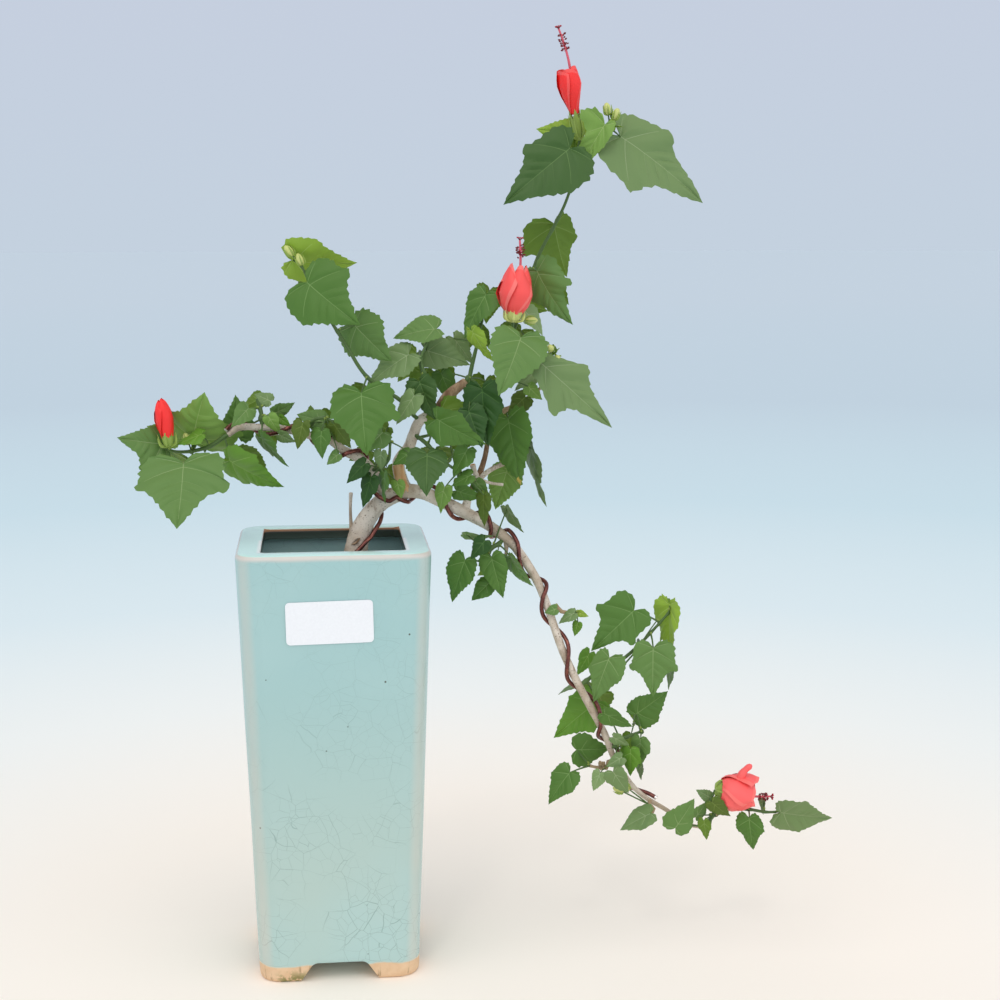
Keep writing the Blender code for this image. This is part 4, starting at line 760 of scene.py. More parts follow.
class Builder:
    """Collects closed shapes of several materials for one joined piece."""

    def __init__(self):
        self.verts, self.faces, self.slots, self.count = [], [], [], 0

    def add(self, verts, faces, slot):
        self.verts.extend(tuple(vert) for vert in verts)
        self.faces.extend(tuple(k + self.count for k in face) for face in faces)
        self.slots.extend([slot] * len(faces) if isinstance(slot, str) else slot)
        self.count += len(verts)

    def tube(self, path, sides, slot, relief=None):
        self.add(*tube_data(path, sides, relief=relief), slot)

    def piece(self, name, sharp=50):
        mesh = bpy.data.meshes.new(name)
        mesh.from_pydata(self.verts, [], self.faces)
        used = sorted(set(self.slots))
        for slot in used:
            mesh.materials.append(MATERIALS[slot])
        mesh.polygons.foreach_set("material_index", [used.index(slot) for slot in self.slots])
        mesh.polygons.foreach_set("use_smooth", [True] * len(self.faces))
        mesh.set_sharp_from_angle(angle=math.radians(sharp))
        mesh.update()
        return add_object(name, mesh)


def dress(obj, slot, *nodes):
    """Put a piece on the part in place of these nodes."""
    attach(obj, "root")
    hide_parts(*nodes)
    return obj


def place(across, depth, up):
    """A point of the plant's front elevation, in the frame's axes."""
    return Matrix.Rotation(PLANT_TURN, 3, "Z") @ (Vector((across, depth, up)) * MM) + CENTRE


def plant_direction(across, depth, up):
    return (Matrix.Rotation(PLANT_TURN, 3, "Z") @ Vector((across, depth, up))).normalized()


def heading_axis(heading):
    """A heading in the front elevation, in degrees up from the right, as a direction."""
    heading = math.radians(heading)
    return plant_direction(math.cos(heading), 0, math.sin(heading))


def sideways(axis, side, angle):
    """The direction square to the axis that lies at this angle from side."""
    return side * math.cos(angle) + axis.cross(side) * math.sin(angle)


TO_FRONT = plant_direction(0, -1, 0)
UP = Vector((0.0, 0.0, 1.0))


def smooth_path(knots, step):
    """A curve's points and radii through knots given in mm in the front elevation."""
    return curve_through([[*place(*knot[:3]), knot[3] * MM] for knot in knots], step)


def curve_through(rows, step):
    """Rows about a step apart on a Catmull-Rom curve through these ones."""
    rows = np.asarray(rows)
    padded = np.vstack([2 * rows[0] - rows[1], rows, 2 * rows[-1] - rows[-2]])
    out = []
    for i in range(1, len(padded) - 2):
        p0, p1, p2, p3 = padded[i - 1:i + 3]
        count = max(1, round(np.linalg.norm((p2 - p1)[:3]) / step))
        for k in range(count):
            t = k / count
            out.append(0.5 * (2 * p1 + (p2 - p0) * t + (2 * p0 - 5 * p1 + 4 * p2 - p3) * t ** 2
                              + (3 * p1 - p0 - 3 * p2 + p3) * t ** 3))
    out.append(padded[-2])
    return np.array(out)


def ring_frames(points):
    """A normal at each point of a path that turns as little as it can."""
    tangents = np.gradient(points, axis=0)
    tangents /= np.linalg.norm(tangents, axis=1)[:, None]
    first = np.array(TO_FRONT) - tangents[0] * np.dot(np.array(TO_FRONT), tangents[0])
    if np.linalg.norm(first) < 0.1:
        first = np.cross(tangents[0], (0, 0, 1.0))
    normals = [first / np.linalg.norm(first)]
    for tangent in tangents[1:]:
        normal = normals[-1] - tangent * np.dot(normals[-1], tangent)
        normals.append(normal / np.linalg.norm(normal))
    return tangents, np.array(normals)


def tube_data(path, sides, grow=0.0, relief=None):
    """Closed tube along the path; relief(distance, angle) gives a factor on its radius."""
    path = np.array(path)
    for end, inner in ((0, 1), (-1, -2)):
        outward = path[end, :3] - path[inner, :3]
        path[end, :3] += grow * outward / np.linalg.norm(outward)
    tangents, normals = ring_frames(path[:, :3])
    thirds = np.cross(tangents, normals)
    lengths = path_lengths(path)
    angles = np.arange(sides) * math.tau / sides
    verts = []
    for i, (x, y, z, radius) in enumerate(path):
        scale = [relief(lengths[i], angle) for angle in angles] if relief else 1.0
        ring = (np.cos(angles)[:, None] * normals[i] + np.sin(angles)[:, None] * thirds[i])
        ring = ring * (radius + grow) * (np.array(scale)[:, None] if relief else 1.0)
        verts.extend(Vector(row) for row in ring + (x, y, z))
    return verts, ring_solid(len(path), sides)


def path_lengths(path):
    return np.concatenate([[0], np.cumsum(np.linalg.norm(np.diff(path[:, :3], axis=0), axis=1))])


def along(path, lengths, distance):
    return np.array([np.interp(distance, lengths, path[:, k]) for k in range(path.shape[1])])


class Space:
    """The solids placed so far, to keep new twigs and leaves clear of them."""

    def __init__(self):
        self.solids = []

    @staticmethod
    def _box(verts):
        rows = np.array([tuple(vert) for vert in verts])
        return rows.min(axis=0), rows.max(axis=0)

    def add(self, owner, verts, faces):
        self.solids.append((owner, BVHTree.FromPolygons(verts, faces), self._box(verts)))

    def hits(self, verts, faces, ignore=()):
        tree = BVHTree.FromPolygons(verts, faces)
        low, high = self._box(verts)
        for owner, other, (other_low, other_high) in self.solids:
            if owner in ignore or np.any(low > other_high) or np.any(high < other_low):
                continue
            if tree.overlap(other):
                return owner
        return None


# ---------------------------------------------------------------- the rule of growth
def blade_frame(heading, lean, turn):
    """Axes of a blade: along its rib, across it, and out of its upper face."""
    flat = heading_axis(heading)
    lean, turn = math.radians(lean), math.radians(turn)
    rib = flat * math.cos(lean) + TO_FRONT * math.sin(lean)
    normal = TO_FRONT * math.cos(lean) - flat * math.sin(lean)
    normal = Matrix.Rotation(turn, 3, rib) @ normal
    return rib, normal.cross(rib), normal


def leaf_data(foot, axes, length, grow=0.0):
    """The room a blade takes, as a lens-shaped solid."""
    rib, across, normal = axes
    size = length * MM

    def point(side, distance, lift):
        drop = -LEAF_DROOP * distance ** 2 + LEAF_FOLD * abs(side)
        return foot + size * (rib * distance + across * side + normal * drop) + normal * lift

    thick = 0.5 * LEAF_THICKNESS * size + grow
    spread = 1 + grow / (0.4 * size)
    right = [point(side * spread, distance * spread, 0) for side, distance in LEAF_HALF]
    left = [point(-side * spread, distance * spread, 0) for side, distance in LEAF_HALF[1:-1]]
    edge = right + left[::-1]
    count = len(edge)
    faces = []
    for k in range(count):
        faces.append((k, (k + 1) % count, count))
        faces.append(((k + 1) % count, k, count + 1))
    return edge + [point(0, LEAF_RIB, thick), point(0, LEAF_RIB, -thick)], faces


def stalk_data(start, end, grow=0.0):
    thick, thin = (radius * MM + grow for radius in STALK_RADIUS)
    return tube_data([[*start, thick], [*end, thin]], STALK_SIDES)


def nearest_nodes(path, point, count):
    distances = np.linalg.norm(path[:, :3] - np.array(point), axis=1)
    return np.argsort(distances)[:count]


def nearest_on(path, point):
    return int(nearest_nodes(path, point, 1)[0])


def node_near(path, point):
    return Vector(path[nearest_on(path, point), :3])


def stem_foot(limb_path, toward):
    """Where a mass's stem begins, just off its limb's side or tip, and which way it leaves."""
    index = nearest_on(limb_path, toward)
    centre = Vector(limb_path[index, :3])
    if index >= len(limb_path) - 1:
        axis = (centre - Vector(limb_path[-2, :3])).normalized()
        return centre + axis * GAP, axis
    axis = Vector(limb_path[index + 1, :3] - limb_path[index - 1, :3]).normalized()
    out = toward - centre
    out = (out - axis * out.dot(axis)).normalized()
    return centre + out * (limb_path[index, 3] + GAP), out


def stem_path(knots, foot=None):
    """A stem or twig through its knots; a stem's foot first stands square off its limb."""
    thick, thin = STEM_RADIUS
    rows = [(*knot, thick + (thin - thick) * i / (len(knots) - 1)) for i, knot in enumerate(knots)]
    path = smooth_path(rows, LIMB_STEP)
    if foot is not None:
        start, out = foot
        path = np.vstack([[*start, thick * MM], [*(start + out * STEM_COLLAR), thick * MM], path])
    return path


def back_leaves(leaves, alone, rng):
    """Leaves behind the front ones, smaller and turned to the back."""
    behind = []
    for index, (across, up, heading, length, lean, _turn, depth) in enumerate(leaves):
        if length < BACK_MIN_LENGTH or rng.random() > BACK_SHARE:
            continue
        leaf = (across + rng.uniform(*BACK_SHIFT), up + rng.uniform(*BACK_SHIFT),
                heading + rng.uniform(*BACK_HEADING), length * rng.uniform(*BACK_SIZE),
                BACK_LEAN_SHARE * lean + rng.uniform(*BACK_LEAN),
                rng.uniform(*BACK_TURN), depth + rng.uniform(*BACK_DEPTH))
        if index not in alone:
            behind.append(leaf)
    return behind


def back_twig(behind, nodes):
    """A twig from the stem towards the middle of the leaves behind it."""
    across, up, depth = (float(np.mean([leaf[k] for leaf in behind])) for k in (0, 1, 6))
    tip = place(across, depth - BACK_TWIG_SHORT, up)
    root = node_near(nodes, tip)
    thick, thin = (radius * MM for radius in STEM_RADIUS)
    bend = root.lerp(tip, 0.5) + Vector((0, 0, BACK_TWIG_RISE * (tip - root).length))
    return np.array([[*root, BACK_TWIG_TAPER * thick], [*bend, thin], [*tip, thin]])


def own_parts(name):
    return name, f"{name}_leaf", f"{name}_stalk"


def place_leaf(name, leaf, nodes, space, touching=()):
    """Foot, axes, length and stalk root of a leaf at the first depth where it is clear."""
    across, up, heading, length, lean, turn, depth = leaf
    own = own_parts(name)
    for nudge, twist in itertools.product(NUDGES, TWISTS):
        axes = blade_frame(heading, lean, turn + twist)
        foot = place(across, depth + nudge, up)
        if space.hits(*leaf_data(foot, axes, length, GAP), ignore=touching):
            continue
        end = foot + axes[0] * (STALK_SUNK * length * MM)
        for index in nearest_nodes(nodes, foot, 3):
            root = Vector(nodes[index, :3])
            if space.hits(*stalk_data(root, end, GAP), ignore=own):
                continue
            space.add(own[1], *leaf_data(foot, axes, length))
            space.add(own[2], *stalk_data(root, end))
            return foot, axes, length, root
    return None


def wind(path, marks, step):
    """A wire wound round a limb: its turns between two marks grow evenly along the limb."""
    lengths = path_lengths(path)
    places, turns = zip(*marks)
    fine = []
    for distance in np.arange(places[0] * MM, min(places[-1] * MM, lengths[-1]), WIRE_FINE):
        centre = along(path, lengths, distance)
        ahead = along(path, lengths, distance + WIRE_REACH)
        tangent = Vector((ahead - along(path, lengths, distance - WIRE_REACH))[:3]).normalized()
        front = (TO_FRONT - tangent * TO_FRONT.dot(tangent)).normalized()
        angle = math.tau * np.interp(distance / MM, places, turns)
        out = front * math.cos(angle) + front.cross(tangent) * math.sin(angle)
        away = centre[3] + WIRE_RADIUS + WIRE_CLEAR
        fine.append([*(Vector(centre[:3]) + out * away), WIRE_RADIUS])
    fine = np.array(fine)
    lengths = path_lengths(fine)
    stations = np.linspace(0, lengths[-1], round(lengths[-1] / step))
    return np.array([along(fine, lengths, station) for station in stations])


# ---------------------------------------------------------------- leaves
FIRST_TOOTH, LAST_TOOTH = 0.06, 0.965
TOOTH_PEAK = 0.62                 # where in its stretch of margin a tooth is highest
TOOTH_SIZES = (0.4, 1.3)          # over a look's teeth
TOOTH_SHIFTS = (-0.22, 0.22)      # over a tooth's stretch
RIB_END = 0.93                    # the rib's own colour stops here
TIP_START = 0.92                  # a withered tip starts here
REAR_BLEND = (0.3, 0.5)           # a look's rear scales the margin up to here, then less and less
MARGIN_RUN = 1.4                  # margin length for each share of it, over the blade's length
VEIN_TAPER = 0.8                  # how much of a vein's width is gone at the margin
VEIN_MOST = 0.018                 # the widest a vein may be, as a share of the margin
VEIN_ARCH = 0.16                  # how far a vein sags back, over its length
FAINT_WIDTH = 0.6                 # a faint vein's width over a strong one's
PUFF = 0.026                      # height of the fields between veins, over the blade's length
TWIST_FROM, CURL_FROM = 0.3, 0.2  # distances along the rib that stay where they are
BLADE, VEIN, UNDER, VEIN_UNDER, FAINT, TIP = range(6)       # kinds of face
WEAK, STRONG = 1, 2               # kinds of vein
# Teeth on a half blade, rings from rib to margin, teeth that end a vein, a faint vein.
BIG_PLAN = (13, 6, (2, 6), (8, 9, 10))
SMALL_PLAN = (8, 4, (1, 4), (5, 6))


@functools.lru_cache(maxsize=None)
def half_margin(lobed):
    """The half margin as (side, distance) over its share from the stalk to the tip."""
    knots = np.array(PLAIN_HALF) * (1 - lobed) + np.array(LOBED_HALF) * lobed
    rows = curve_through(knots, 0.01)
    lengths = path_lengths(rows)
    slope = np.gradient(rows, axis=0)
    slope /= np.linalg.norm(slope, axis=1)[:, None]
    outward = np.column_stack([slope[:, 1], -slope[:, 0]])
    return lengths / lengths[-1], rows, outward


@functools.lru_cache(maxsize=None)
def blade_plan(teeth, rings, strong, faint):
    """A blade's columns (share of the margin, side and strength of a vein, tooth), its corners
    (face, side, column, ring) and its faces with their kinds. Its rib's two ends come first."""
    pitch = (LAST_TOOTH - FIRST_TOOTH) / teeth
    columns = []
    for tooth in range(teeth):
        low = FIRST_TOOTH + tooth * pitch
        peak = low + TOOTH_PEAK * pitch
        columns += [(low, 0, tooth), (0.5 * (low + peak), 0, tooth)]
        vein = STRONG if tooth in strong else WEAK if tooth in faint else 0
        columns += [(peak, -vein, tooth), (peak, vein, tooth)] if vein else [(peak, 0, tooth)]
    columns.append((LAST_TOOTH, 0, teeth - 1))
    corners = {}

    def corner(face, side, column, ring):
        if ring == 0:
            side = 0
        if ring == rings:
            face = 0
        return corners.setdefault((face, side, column, ring), len(corners) + 2)

    faces, kinds = [], []
    for face, side in itertools.product((1, -1), (1, -1)):
        for column in range(-1, len(columns)):
            first, last = column == -1, column == len(columns) - 1
            vein = 0 if first or last else -columns[column][1]
            for ring in range(rings):
                if first:
                    loop = (0, corner(face, side, 0, ring), corner(face, side, 0, ring + 1))
                elif last:
                    loop = (corner(face, side, column, ring), 1, corner(face, side, column, ring + 1))
                else:
                    loop = tuple(corner(face, side, column + across, ring + out)
                                 for across, out in ((0, 0), (1, 0), (1, 1), (0, 1)))
                faces.append(loop if face * side > 0 else loop[:1] + loop[:0:-1])
                rib = ring == 0 and not last and (first or columns[column][0] < RIB_END)
                if rib or (vein == STRONG and ring < rings - 1):
                    kind = VEIN
                elif vein == WEAK and ring < rings - 2:
                    kind = FAINT
                elif not first and columns[column][0] > TIP_START:
                    kind = TIP
                else:
                    kind = BLADE
                kinds.append(kind if face > 0 else VEIN_UNDER if kind == VEIN else UNDER)
    keys = sorted(corners, key=corners.get)
    return np.array(columns), np.array(keys), faces, kinds


def rib_at(u):
    """Where on the rib the vein to a place on the margin leaves it: the lower ones at the base."""
    return 0.04 + 0.96 * (0.03 * u + 0.97 * np.maximum(0, (u - 0.48) / 0.52) ** 1.25)


def blade_points(length, look, rng):
    """A toothed blade's corners as (side, distance, lift) over its length, and its faces."""
    teeth, rings, strong, faint = BIG_PLAN if length > BIG_LEAF else SMALL_PLAN
    columns, keys, faces, kinds = blade_plan(teeth, rings, strong, faint)
    face, side, column, ring = keys.T
    u, vein, tooth = columns[column].T
    k = np.maximum(0, ring - 1) / (rings - 1)
    k = np.where(ring == 1, 0.001, k)

    # A vein's two edges lie either side of its middle, as far along the margin as its width asks.
    slope = np.gradient(rib_at(np.linspace(0, 1, 101)), 0.01)[(u * 100).astype(int)]
    run = (1 - k) * slope + k * MARGIN_RUN
    vein_width = LEAF_VEIN / MM / length
    width = vein_width * (1 - VEIN_TAPER * k) * np.where(np.abs(vein) == WEAK, FAINT_WIDTH, 1.0)
    u = u + np.sign(vein) * np.minimum(VEIN_MOST, width / run)

    # Teeth of uneven height and place, lower towards the tip, none at the blade's two ends.
    own = (tooth + teeth * (side < 0)).astype(int)
    sizes = np.array([rng.uniform(*TOOTH_SIZES) for _ in range(2 * teeth)])[own]
    shifts = np.array([rng.uniform(*TOOTH_SHIFTS) for _ in range(2 * teeth)])[own]
    phase = ((u - FIRST_TOOTH) / (LAST_TOOTH - FIRST_TOOTH) * teeth) % 1.0
    height = np.where(phase < TOOTH_PEAK, phase / TOOTH_PEAK, (1 - phase) / (1 - TOOTH_PEAK))
    ends = np.clip(np.minimum(6 * u, 7 * (1 - u)), 0, 1)
    height = height * sizes * look["teeth"] * (1 - 0.45 * u) * ends
    u = u + shifts * np.sin(math.pi * phase) * k / teeth

    # The margin, and the vein that runs to it from the rib, arched back.
    edge = np.zeros((len(u), 2))
    for half, lobed, broad, rear in zip((1, -1), look["lobed"], look["broad"], look["rear"]):
        share, margin, outward = half_margin(lobed)
        mine = side == half
        broad = np.interp(u[mine], (0.0, *REAR_BLEND), (broad * rear, broad * rear, broad))
        for i, scale in ((0, broad), (1, 1.0)):
            edge[mine, i] = scale * (np.interp(u[mine], share, margin[:, i])
                                     + height[mine] * np.interp(u[mine], share, outward[:, i]))
    rib = np.column_stack([np.zeros_like(u), rib_at(u)])
    reach = np.linalg.norm(edge - rib, axis=1)
    rib_width = 1.4 * vein_width * (1 - 0.75 * rib_at(u))
    k = np.where(ring == 0, 0.0, np.maximum(k, np.minimum(0.35, rib_width / reach)))
    spot = rib + (edge - rib) * k[:, None]
    s, d = spot[:, 0], spot[:, 1] - VEIN_ARCH * reach * k * (1 - k)

    # Fields puffed between the veins, a wavy margin, and the sheet's thickness.
    veins = np.unique(columns[columns[:, 1] != 0, 0])
    between = np.interp(u, np.concatenate([[0.0], veins, [1.0]]), np.arange(len(veins) + 2))
    puff = PUFF * np.abs(np.sin(math.pi * between)) * np.sin(math.pi * np.clip(k, 0.05, 0.95))
    wave = look["wave"] * np.sin(math.tau * (2.3 * u + look["phase"] + 0.25 * side)) * k ** 2
    wave += 0.4 * look["wave"] * np.sin(math.tau * (5.1 * u + 2 * look["phase"] - 0.2 * side)) * k ** 3
    wave *= np.clip(4 * (1 - u), 0, 1)
    lift = look["fold"] * s - look["camber"] * s ** 2 - look["droop"] * d ** 2 + puff + wave
    sheet = 0.5 * LEAF_SHEET / MM / length * (1 - k ** 6)

    # The rib's two end points come first; then the whole blade twists and curls sideways.
    ends = np.array([0.04, 1.0])
    s, d, face = np.append([0.0, 0.0], s * side), np.append(ends, d), np.append([0, 0], face)
    lift = np.append(-look["droop"] * ends ** 2, lift)
    sheet = np.append([0.0, 0.0], sheet)
    turn = look["twist"] * (d - TWIST_FROM)
    s, lift = s * np.cos(turn) - lift * np.sin(turn), s * np.sin(turn) + lift * np.cos(turn)
    s = s + look["curl"] * d * (d - CURL_FROM)
    return np.column_stack([s, d, lift + face * sheet]), faces, kinds


def add_blade(builder, foot, axes, length, look, rng):
    rib, across, normal = (np.array(axis) for axis in axes)
    points, faces, kinds = blade_points(length, look, rng)
    side, distance, lift = points.T[:, :, None]
    verts = np.array(foot) + length * MM * (side * across + distance * rib + lift * normal)
    tone = look["tone"]
    names = (f"leaf_{tone}", f"vein_{tone}", "leaf_under", "vein_under", f"faint_{tone}",
             f"leaf_{look.get('tip', tone)}")
    builder.add(verts, faces, [names[kind] for kind in kinds])


def leaf_look(length, rng, tones, **own):
    """How one blade differs, at random but for what is its own.

    Pairs are for the half on the left of the rib and the half on its right, as the tip is faced
    from the stalk: how far a half goes from the plain margin to the lobed one, its width over
    the margin's (broad), and the same for its part near the stalk (rear). teeth: their height.
    fold, camber and droop: how far the sides lift, bend down and the tip falls. wave and phase:
    the margin's. twist: radians about the rib. curl: how far the rib bends sideways. tip: the
    tone of a withered tip.
    """
    lobed, broad = rng.uniform(0.0, 0.5), rng.uniform(0.80, 1.0)
    look = dict(lobed=(lobed, lobed * rng.random()), broad=(broad, broad * rng.uniform(0.9, 1.05)),
                rear=1.0, teeth=rng.uniform(0.032, 0.048),
                fold=LEAF_FOLD + rng.uniform(-0.04, 0.10), camber=rng.uniform(0.05, 0.35),
                droop=LEAF_DROOP + rng.uniform(-0.05, 0.12), wave=rng.uniform(0.010, 0.034),
                phase=rng.random(), twist=rng.uniform(-0.25, 0.25), curl=rng.uniform(-0.05, 0.05),
                tone=rng.choice(tones))
    if length < PLAIN_LEAF:
        look["lobed"] = 0.0
        look["teeth"] *= 1.1
    look.update(own)
    for key in ("lobed", "broad", "rear"):
        if not isinstance(look[key], tuple):
            look[key] = (look[key], look[key])
    return look


def add_stalk(builder, root, foot, axes, length, rng):
    """A thin stalk that leaves its stem, bows a little and runs into the blade's rib."""
    end = foot + axes[0] * (0.05 * length * MM) - axes[2] * (0.15 * MM)
    span = (end - root).length
    bow = [rng.uniform(*ends) for ends in ((-0.4, 0.4), (-0.4, 0.4), (0.2, 1.0))]
    bow = Vector(bow) * (0.07 * span)
    thick, thin = (radius * MM * min(1.0, 0.55 + length / 60) for radius in STALK_LOOK)
    rows = [[*root, thick * 1.25], [*(root.lerp(end, 0.12) + bow * 0.4), thick],
            [*(root.lerp(end, 0.55) + bow), 0.5 * (thick + thin)], [*end, thin]]
    builder.tube(curve_through(rows, max(1.2 * MM, span / 9)), 7, "stem_green")


def add_ball(builder, centre, axis, radius, stretch, name, rough=0.0, rng=None, detail=1):
    """A small rounded body, drawn out along an axis."""
    bm = bmesh.new()
    bmesh.ops.create_icosphere(bm, subdivisions=detail, radius=1.0)
    turn = axis.to_track_quat("Z", "Y").to_matrix()
    verts = []
    for vert in bm.verts:
        scale = radius * (1 + (rng.uniform(-rough, rough) if rough else 0.0))
        x, y, z = (part * scale for part in vert.co)
        verts.append(centre + turn @ Vector((x, y, z * stretch)))
    builder.add(verts, [[vert.index for vert in face.verts] for face in bm.faces], name)
    bm.free()


# ---------------------------------------------------------------- flowers
PETALS = 5
PETAL_ACROSS, PETAL_ALONG = 10, 12
PETAL_SPIRAL = 0.9                # radians that a petal winds round from its base to its end
PETAL_SHEET = 0.28 * MM           # its thickness
FLAP_FROM = 0.45                  # the share of its height where a flap starts to stand off
CALYX_SIDES, CALYX_LOBES = 30, 5
# The calyx's sections: share of its height, of its radius, and of its lobes' rise.
CALYX_ROWS = ((0.0, 0.22, 0), (0.10, 0.60, 0), (0.30, 0.90, 0), (0.60, 1.0, 0.1), (0.84, 1.04, 0.4),
              (1.0, 1.12, 1.0))
ANTHERS, STIGMAS = 34, 8
ANTHER_TURN = 2.4                 # radians from one anther to the next
# A finger petal: distance along the flower and rise, over its length, and radius in mm.
FINGER = ((0.42, 0.26, 2.4), (0.47, 0.38, 2.6), (0.53, 0.47, 1.9), (0.60, 0.54, 1.9),
          (0.62, 0.58, 0.9))


def around(foot, axis):
    """A function for points about an axis, by radius, angle and height over the foot."""
    side = axis.cross(UP)
    side = axis.cross(Vector((1.0, 0.0, 0.0))) if side.length < 0.2 else side
    side.normalize()
    return lambda radius, angle, height: (foot + axis * height + side * (radius * math.cos(angle))
                                          + axis.cross(side) * (radius * math.sin(angle)))


def petal_radius(share, bloom):
    """Half width of the closed petals from their base to the mouth, over the widest."""
    return float(np.interp(share, *zip(*bloom["outline"])))


def add_petals(builder, spot, length, bloom, rng):
    """Five petals wrapped in a spiral, each a closed sheet with a rounded, ruffled end."""
    base, tall, wide = (bloom[key] * length for key in ("base", "petals", "width"))
    row = PETAL_ACROSS + 1
    grid, rim = grid_faces(PETAL_ALONG + 1, row)
    block = row * (PETAL_ALONG + 1)
    flapping, flap_reach = bloom.get("flap", (None, 0.0))
    for petal in range(PETALS):
        start = math.tau * petal / PETALS + rng.uniform(-0.1, 0.1)
        tip = rng.uniform(0.94, 1.04)
        flap = flap_reach if petal == flapping else 0.0
        verts = []
        for face, i, j in itertools.product((1, -1), range(PETAL_ALONG + 1), range(row)):
            share, u = i / PETAL_ALONG, 2 * j / PETAL_ACROSS - 1
            angle = start + PETAL_SPIRAL * share + u * (0.92 + 0.25 * math.sin(math.pi * share))
            ruffle = bloom["ruffle"] * share ** 2 * math.sin(5 * u + petal * 2.1 + 3 * share)
            radius = wide * petal_radius(share, bloom) * (1 + 0.16 * u)
            radius += wide * ruffle
            radius += wide * flap * max(0.0, share - FLAP_FROM) * (1 - 0.5 * u * u)
            radius += face * 0.5 * PETAL_SHEET * (1 - u * u) * (1 - share ** 4)
            crease = 1 - 0.035 * math.cos(9 * u + petal) * share
            lower = (bloom["point"] * u * u + 0.05 * u) * share ** 3
            verts.append(spot(radius * crease, angle, base + tall * tip * share * (1 - lower)))
        faces, names = [], []
        for quad in grid:
            i, j = divmod(quad[0], row)
            at_edge = j == PETAL_ACROSS - 1 or i == PETAL_ALONG - 1
            faces += [quad, tuple(block + k for k in quad[::-1])]
            names += [bloom["edge" if at_edge else "petal"]] * 2
        for a, b in zip(rim, rim[1:] + rim[:1]):
            faces.append((b, a, a + block, b + block))
            names.append(bloom["edge"])
        builder.add(verts, faces, names)


def add_calyx(builder, spot, length, bloom, rng):
    """The green cup with pointed lobes, and the narrow bracts that stand round its foot."""
    wide, tall = (share * length for share in bloom["calyx"])
    base, petals, width = (bloom[key] * length for key in ("base", "petals", "width"))
    verts = []
    for share, radius, lobe in CALYX_ROWS:
        for k in range(CALYX_SIDES):
            angle = math.tau * k / CALYX_SIDES
            point = 1 - abs((angle * CALYX_LOBES / math.tau) % 1.0 * 2 - 1)
            rise = tall * (share + 0.42 * lobe * (point - 0.45))
            inside = width * petal_radius(max(0.0, rise - base) / petals, bloom)
            clear = min(inside, 1.3 * wide) + GAP if share > 0.5 else 0
            verts.append(spot(max(radius * wide, clear), angle, rise))
    foot = len(verts)
    last = foot - CALYX_SIDES
    verts += [spot(0, 0, -0.02 * tall), spot(0, 0, 0.5 * tall)]
    faces = ring_walls(len(CALYX_ROWS), CALYX_SIDES)
    for k in range(CALYX_SIDES):
        n = (k + 1) % CALYX_SIDES
        faces += [(n, k, foot), (last + k, last + n, foot + 1)]
    builder.add(verts, faces, bloom["green"])
    count, spread = bloom["bracts"]
    for k in range(count):
        angle = math.tau * (k + rng.uniform(-0.25, 0.25)) / count
        rise = tall * rng.uniform(0.75, 1.1)
        rows = [(0.25 * wide, 0.02 * rise, 0.40), (0.5 * (1 + spread) * wide, 0.22 * rise, 0.75),
                (spread * wide, 0.60 * rise, 0.62), (1.08 * spread * wide, 1.05 * rise, 0.10)]
        rows = [[*spot(radius, angle, height), thick * MM] for radius, height, thick in rows]
        builder.tube(curve_through(rows, 1.0 * MM), 6, bloom["green"])


def add_thread(builder, start, end, radii, sides, name):
    """A short straight tube; radii in mm at its two ends."""
    builder.tube([[*point, radius * MM] for point, radius in zip((start, end), radii)], sides, name)


def add_column(builder, foot, axis, length, bloom, rng):
    """The column that stands out of the petals, with its anthers and lobed stigma."""
    start, end = (bloom["base"] + 0.3 * bloom["petals"]) * length, length
    side = axis.cross(TO_FRONT).normalized()
    rows = []
    for share in np.linspace(0, 1, 9):
        bend = side * (0.035 * length * math.sin(math.pi * share))
        point = foot + axis * (start + (end - start) * share) + bend
        rows.append([*point, (0.95 - 0.35 * share) * MM])
    path = curve_through(rows, 1.0 * MM)
    builder.tube(path, 9, "column_red")
    lengths = path_lengths(path)
    for k in range(ANTHERS):
        share = rng.uniform(0.68, 0.91)
        root = Vector(along(path, lengths, share * lengths[-1])[:3])
        out = (sideways(axis, side, k * ANTHER_TURN) + axis * 0.35).normalized()
        tip = root + out * (rng.uniform(1.7, 2.7) * MM)
        add_thread(builder, root, tip, (0.16, 0.12), 5, "column_red")
        add_ball(builder, tip, out, 0.55 * MM, 1.5, "anther_dark", 0.1, rng)
    top = Vector(path[-1, :3])
    for k in range(STIGMAS):
        out = (sideways(axis, side, math.tau * k / STIGMAS) + axis * 0.9).normalized()
        tip = top + out * (2.1 * MM)
        add_thread(builder, top, tip, (0.3, 0.2), 5, "anther_dark")
        add_ball(builder, tip, out, 0.55 * MM, 1.0, "stigma_red")


def add_flower(builder, flower, bloom, rng):
    across, depth, up, heading, length, _girth, _form = flower
    foot, axis, size = place(across, depth, up), heading_axis(heading), length * MM
    spot = around(foot, axis)
    add_calyx(builder, spot, size, bloom, rng)
    add_petals(builder, spot, size, bloom, rng)
    if bloom["column"]:
        add_column(builder, foot, axis, size, bloom, rng)
    if bloom.get("finger"):
        rows = []
        for reach, rise, radius in FINGER:
            point = foot + axis * (reach * size) + UP * (rise * size) + TO_FRONT * (0.1 * size)
            rows.append([*point, radius * MM])
        builder.tube(curve_through(rows, 0.8 * MM), 10, bloom["petal"])


# ---------------------------------------------------------------- masses
NODE_SWELL = 0.22                 # how much a stem thickens where a stalk leaves it
SPROUT_LENGTH = (5, 9)            # mm, the young blades at a stem's tip
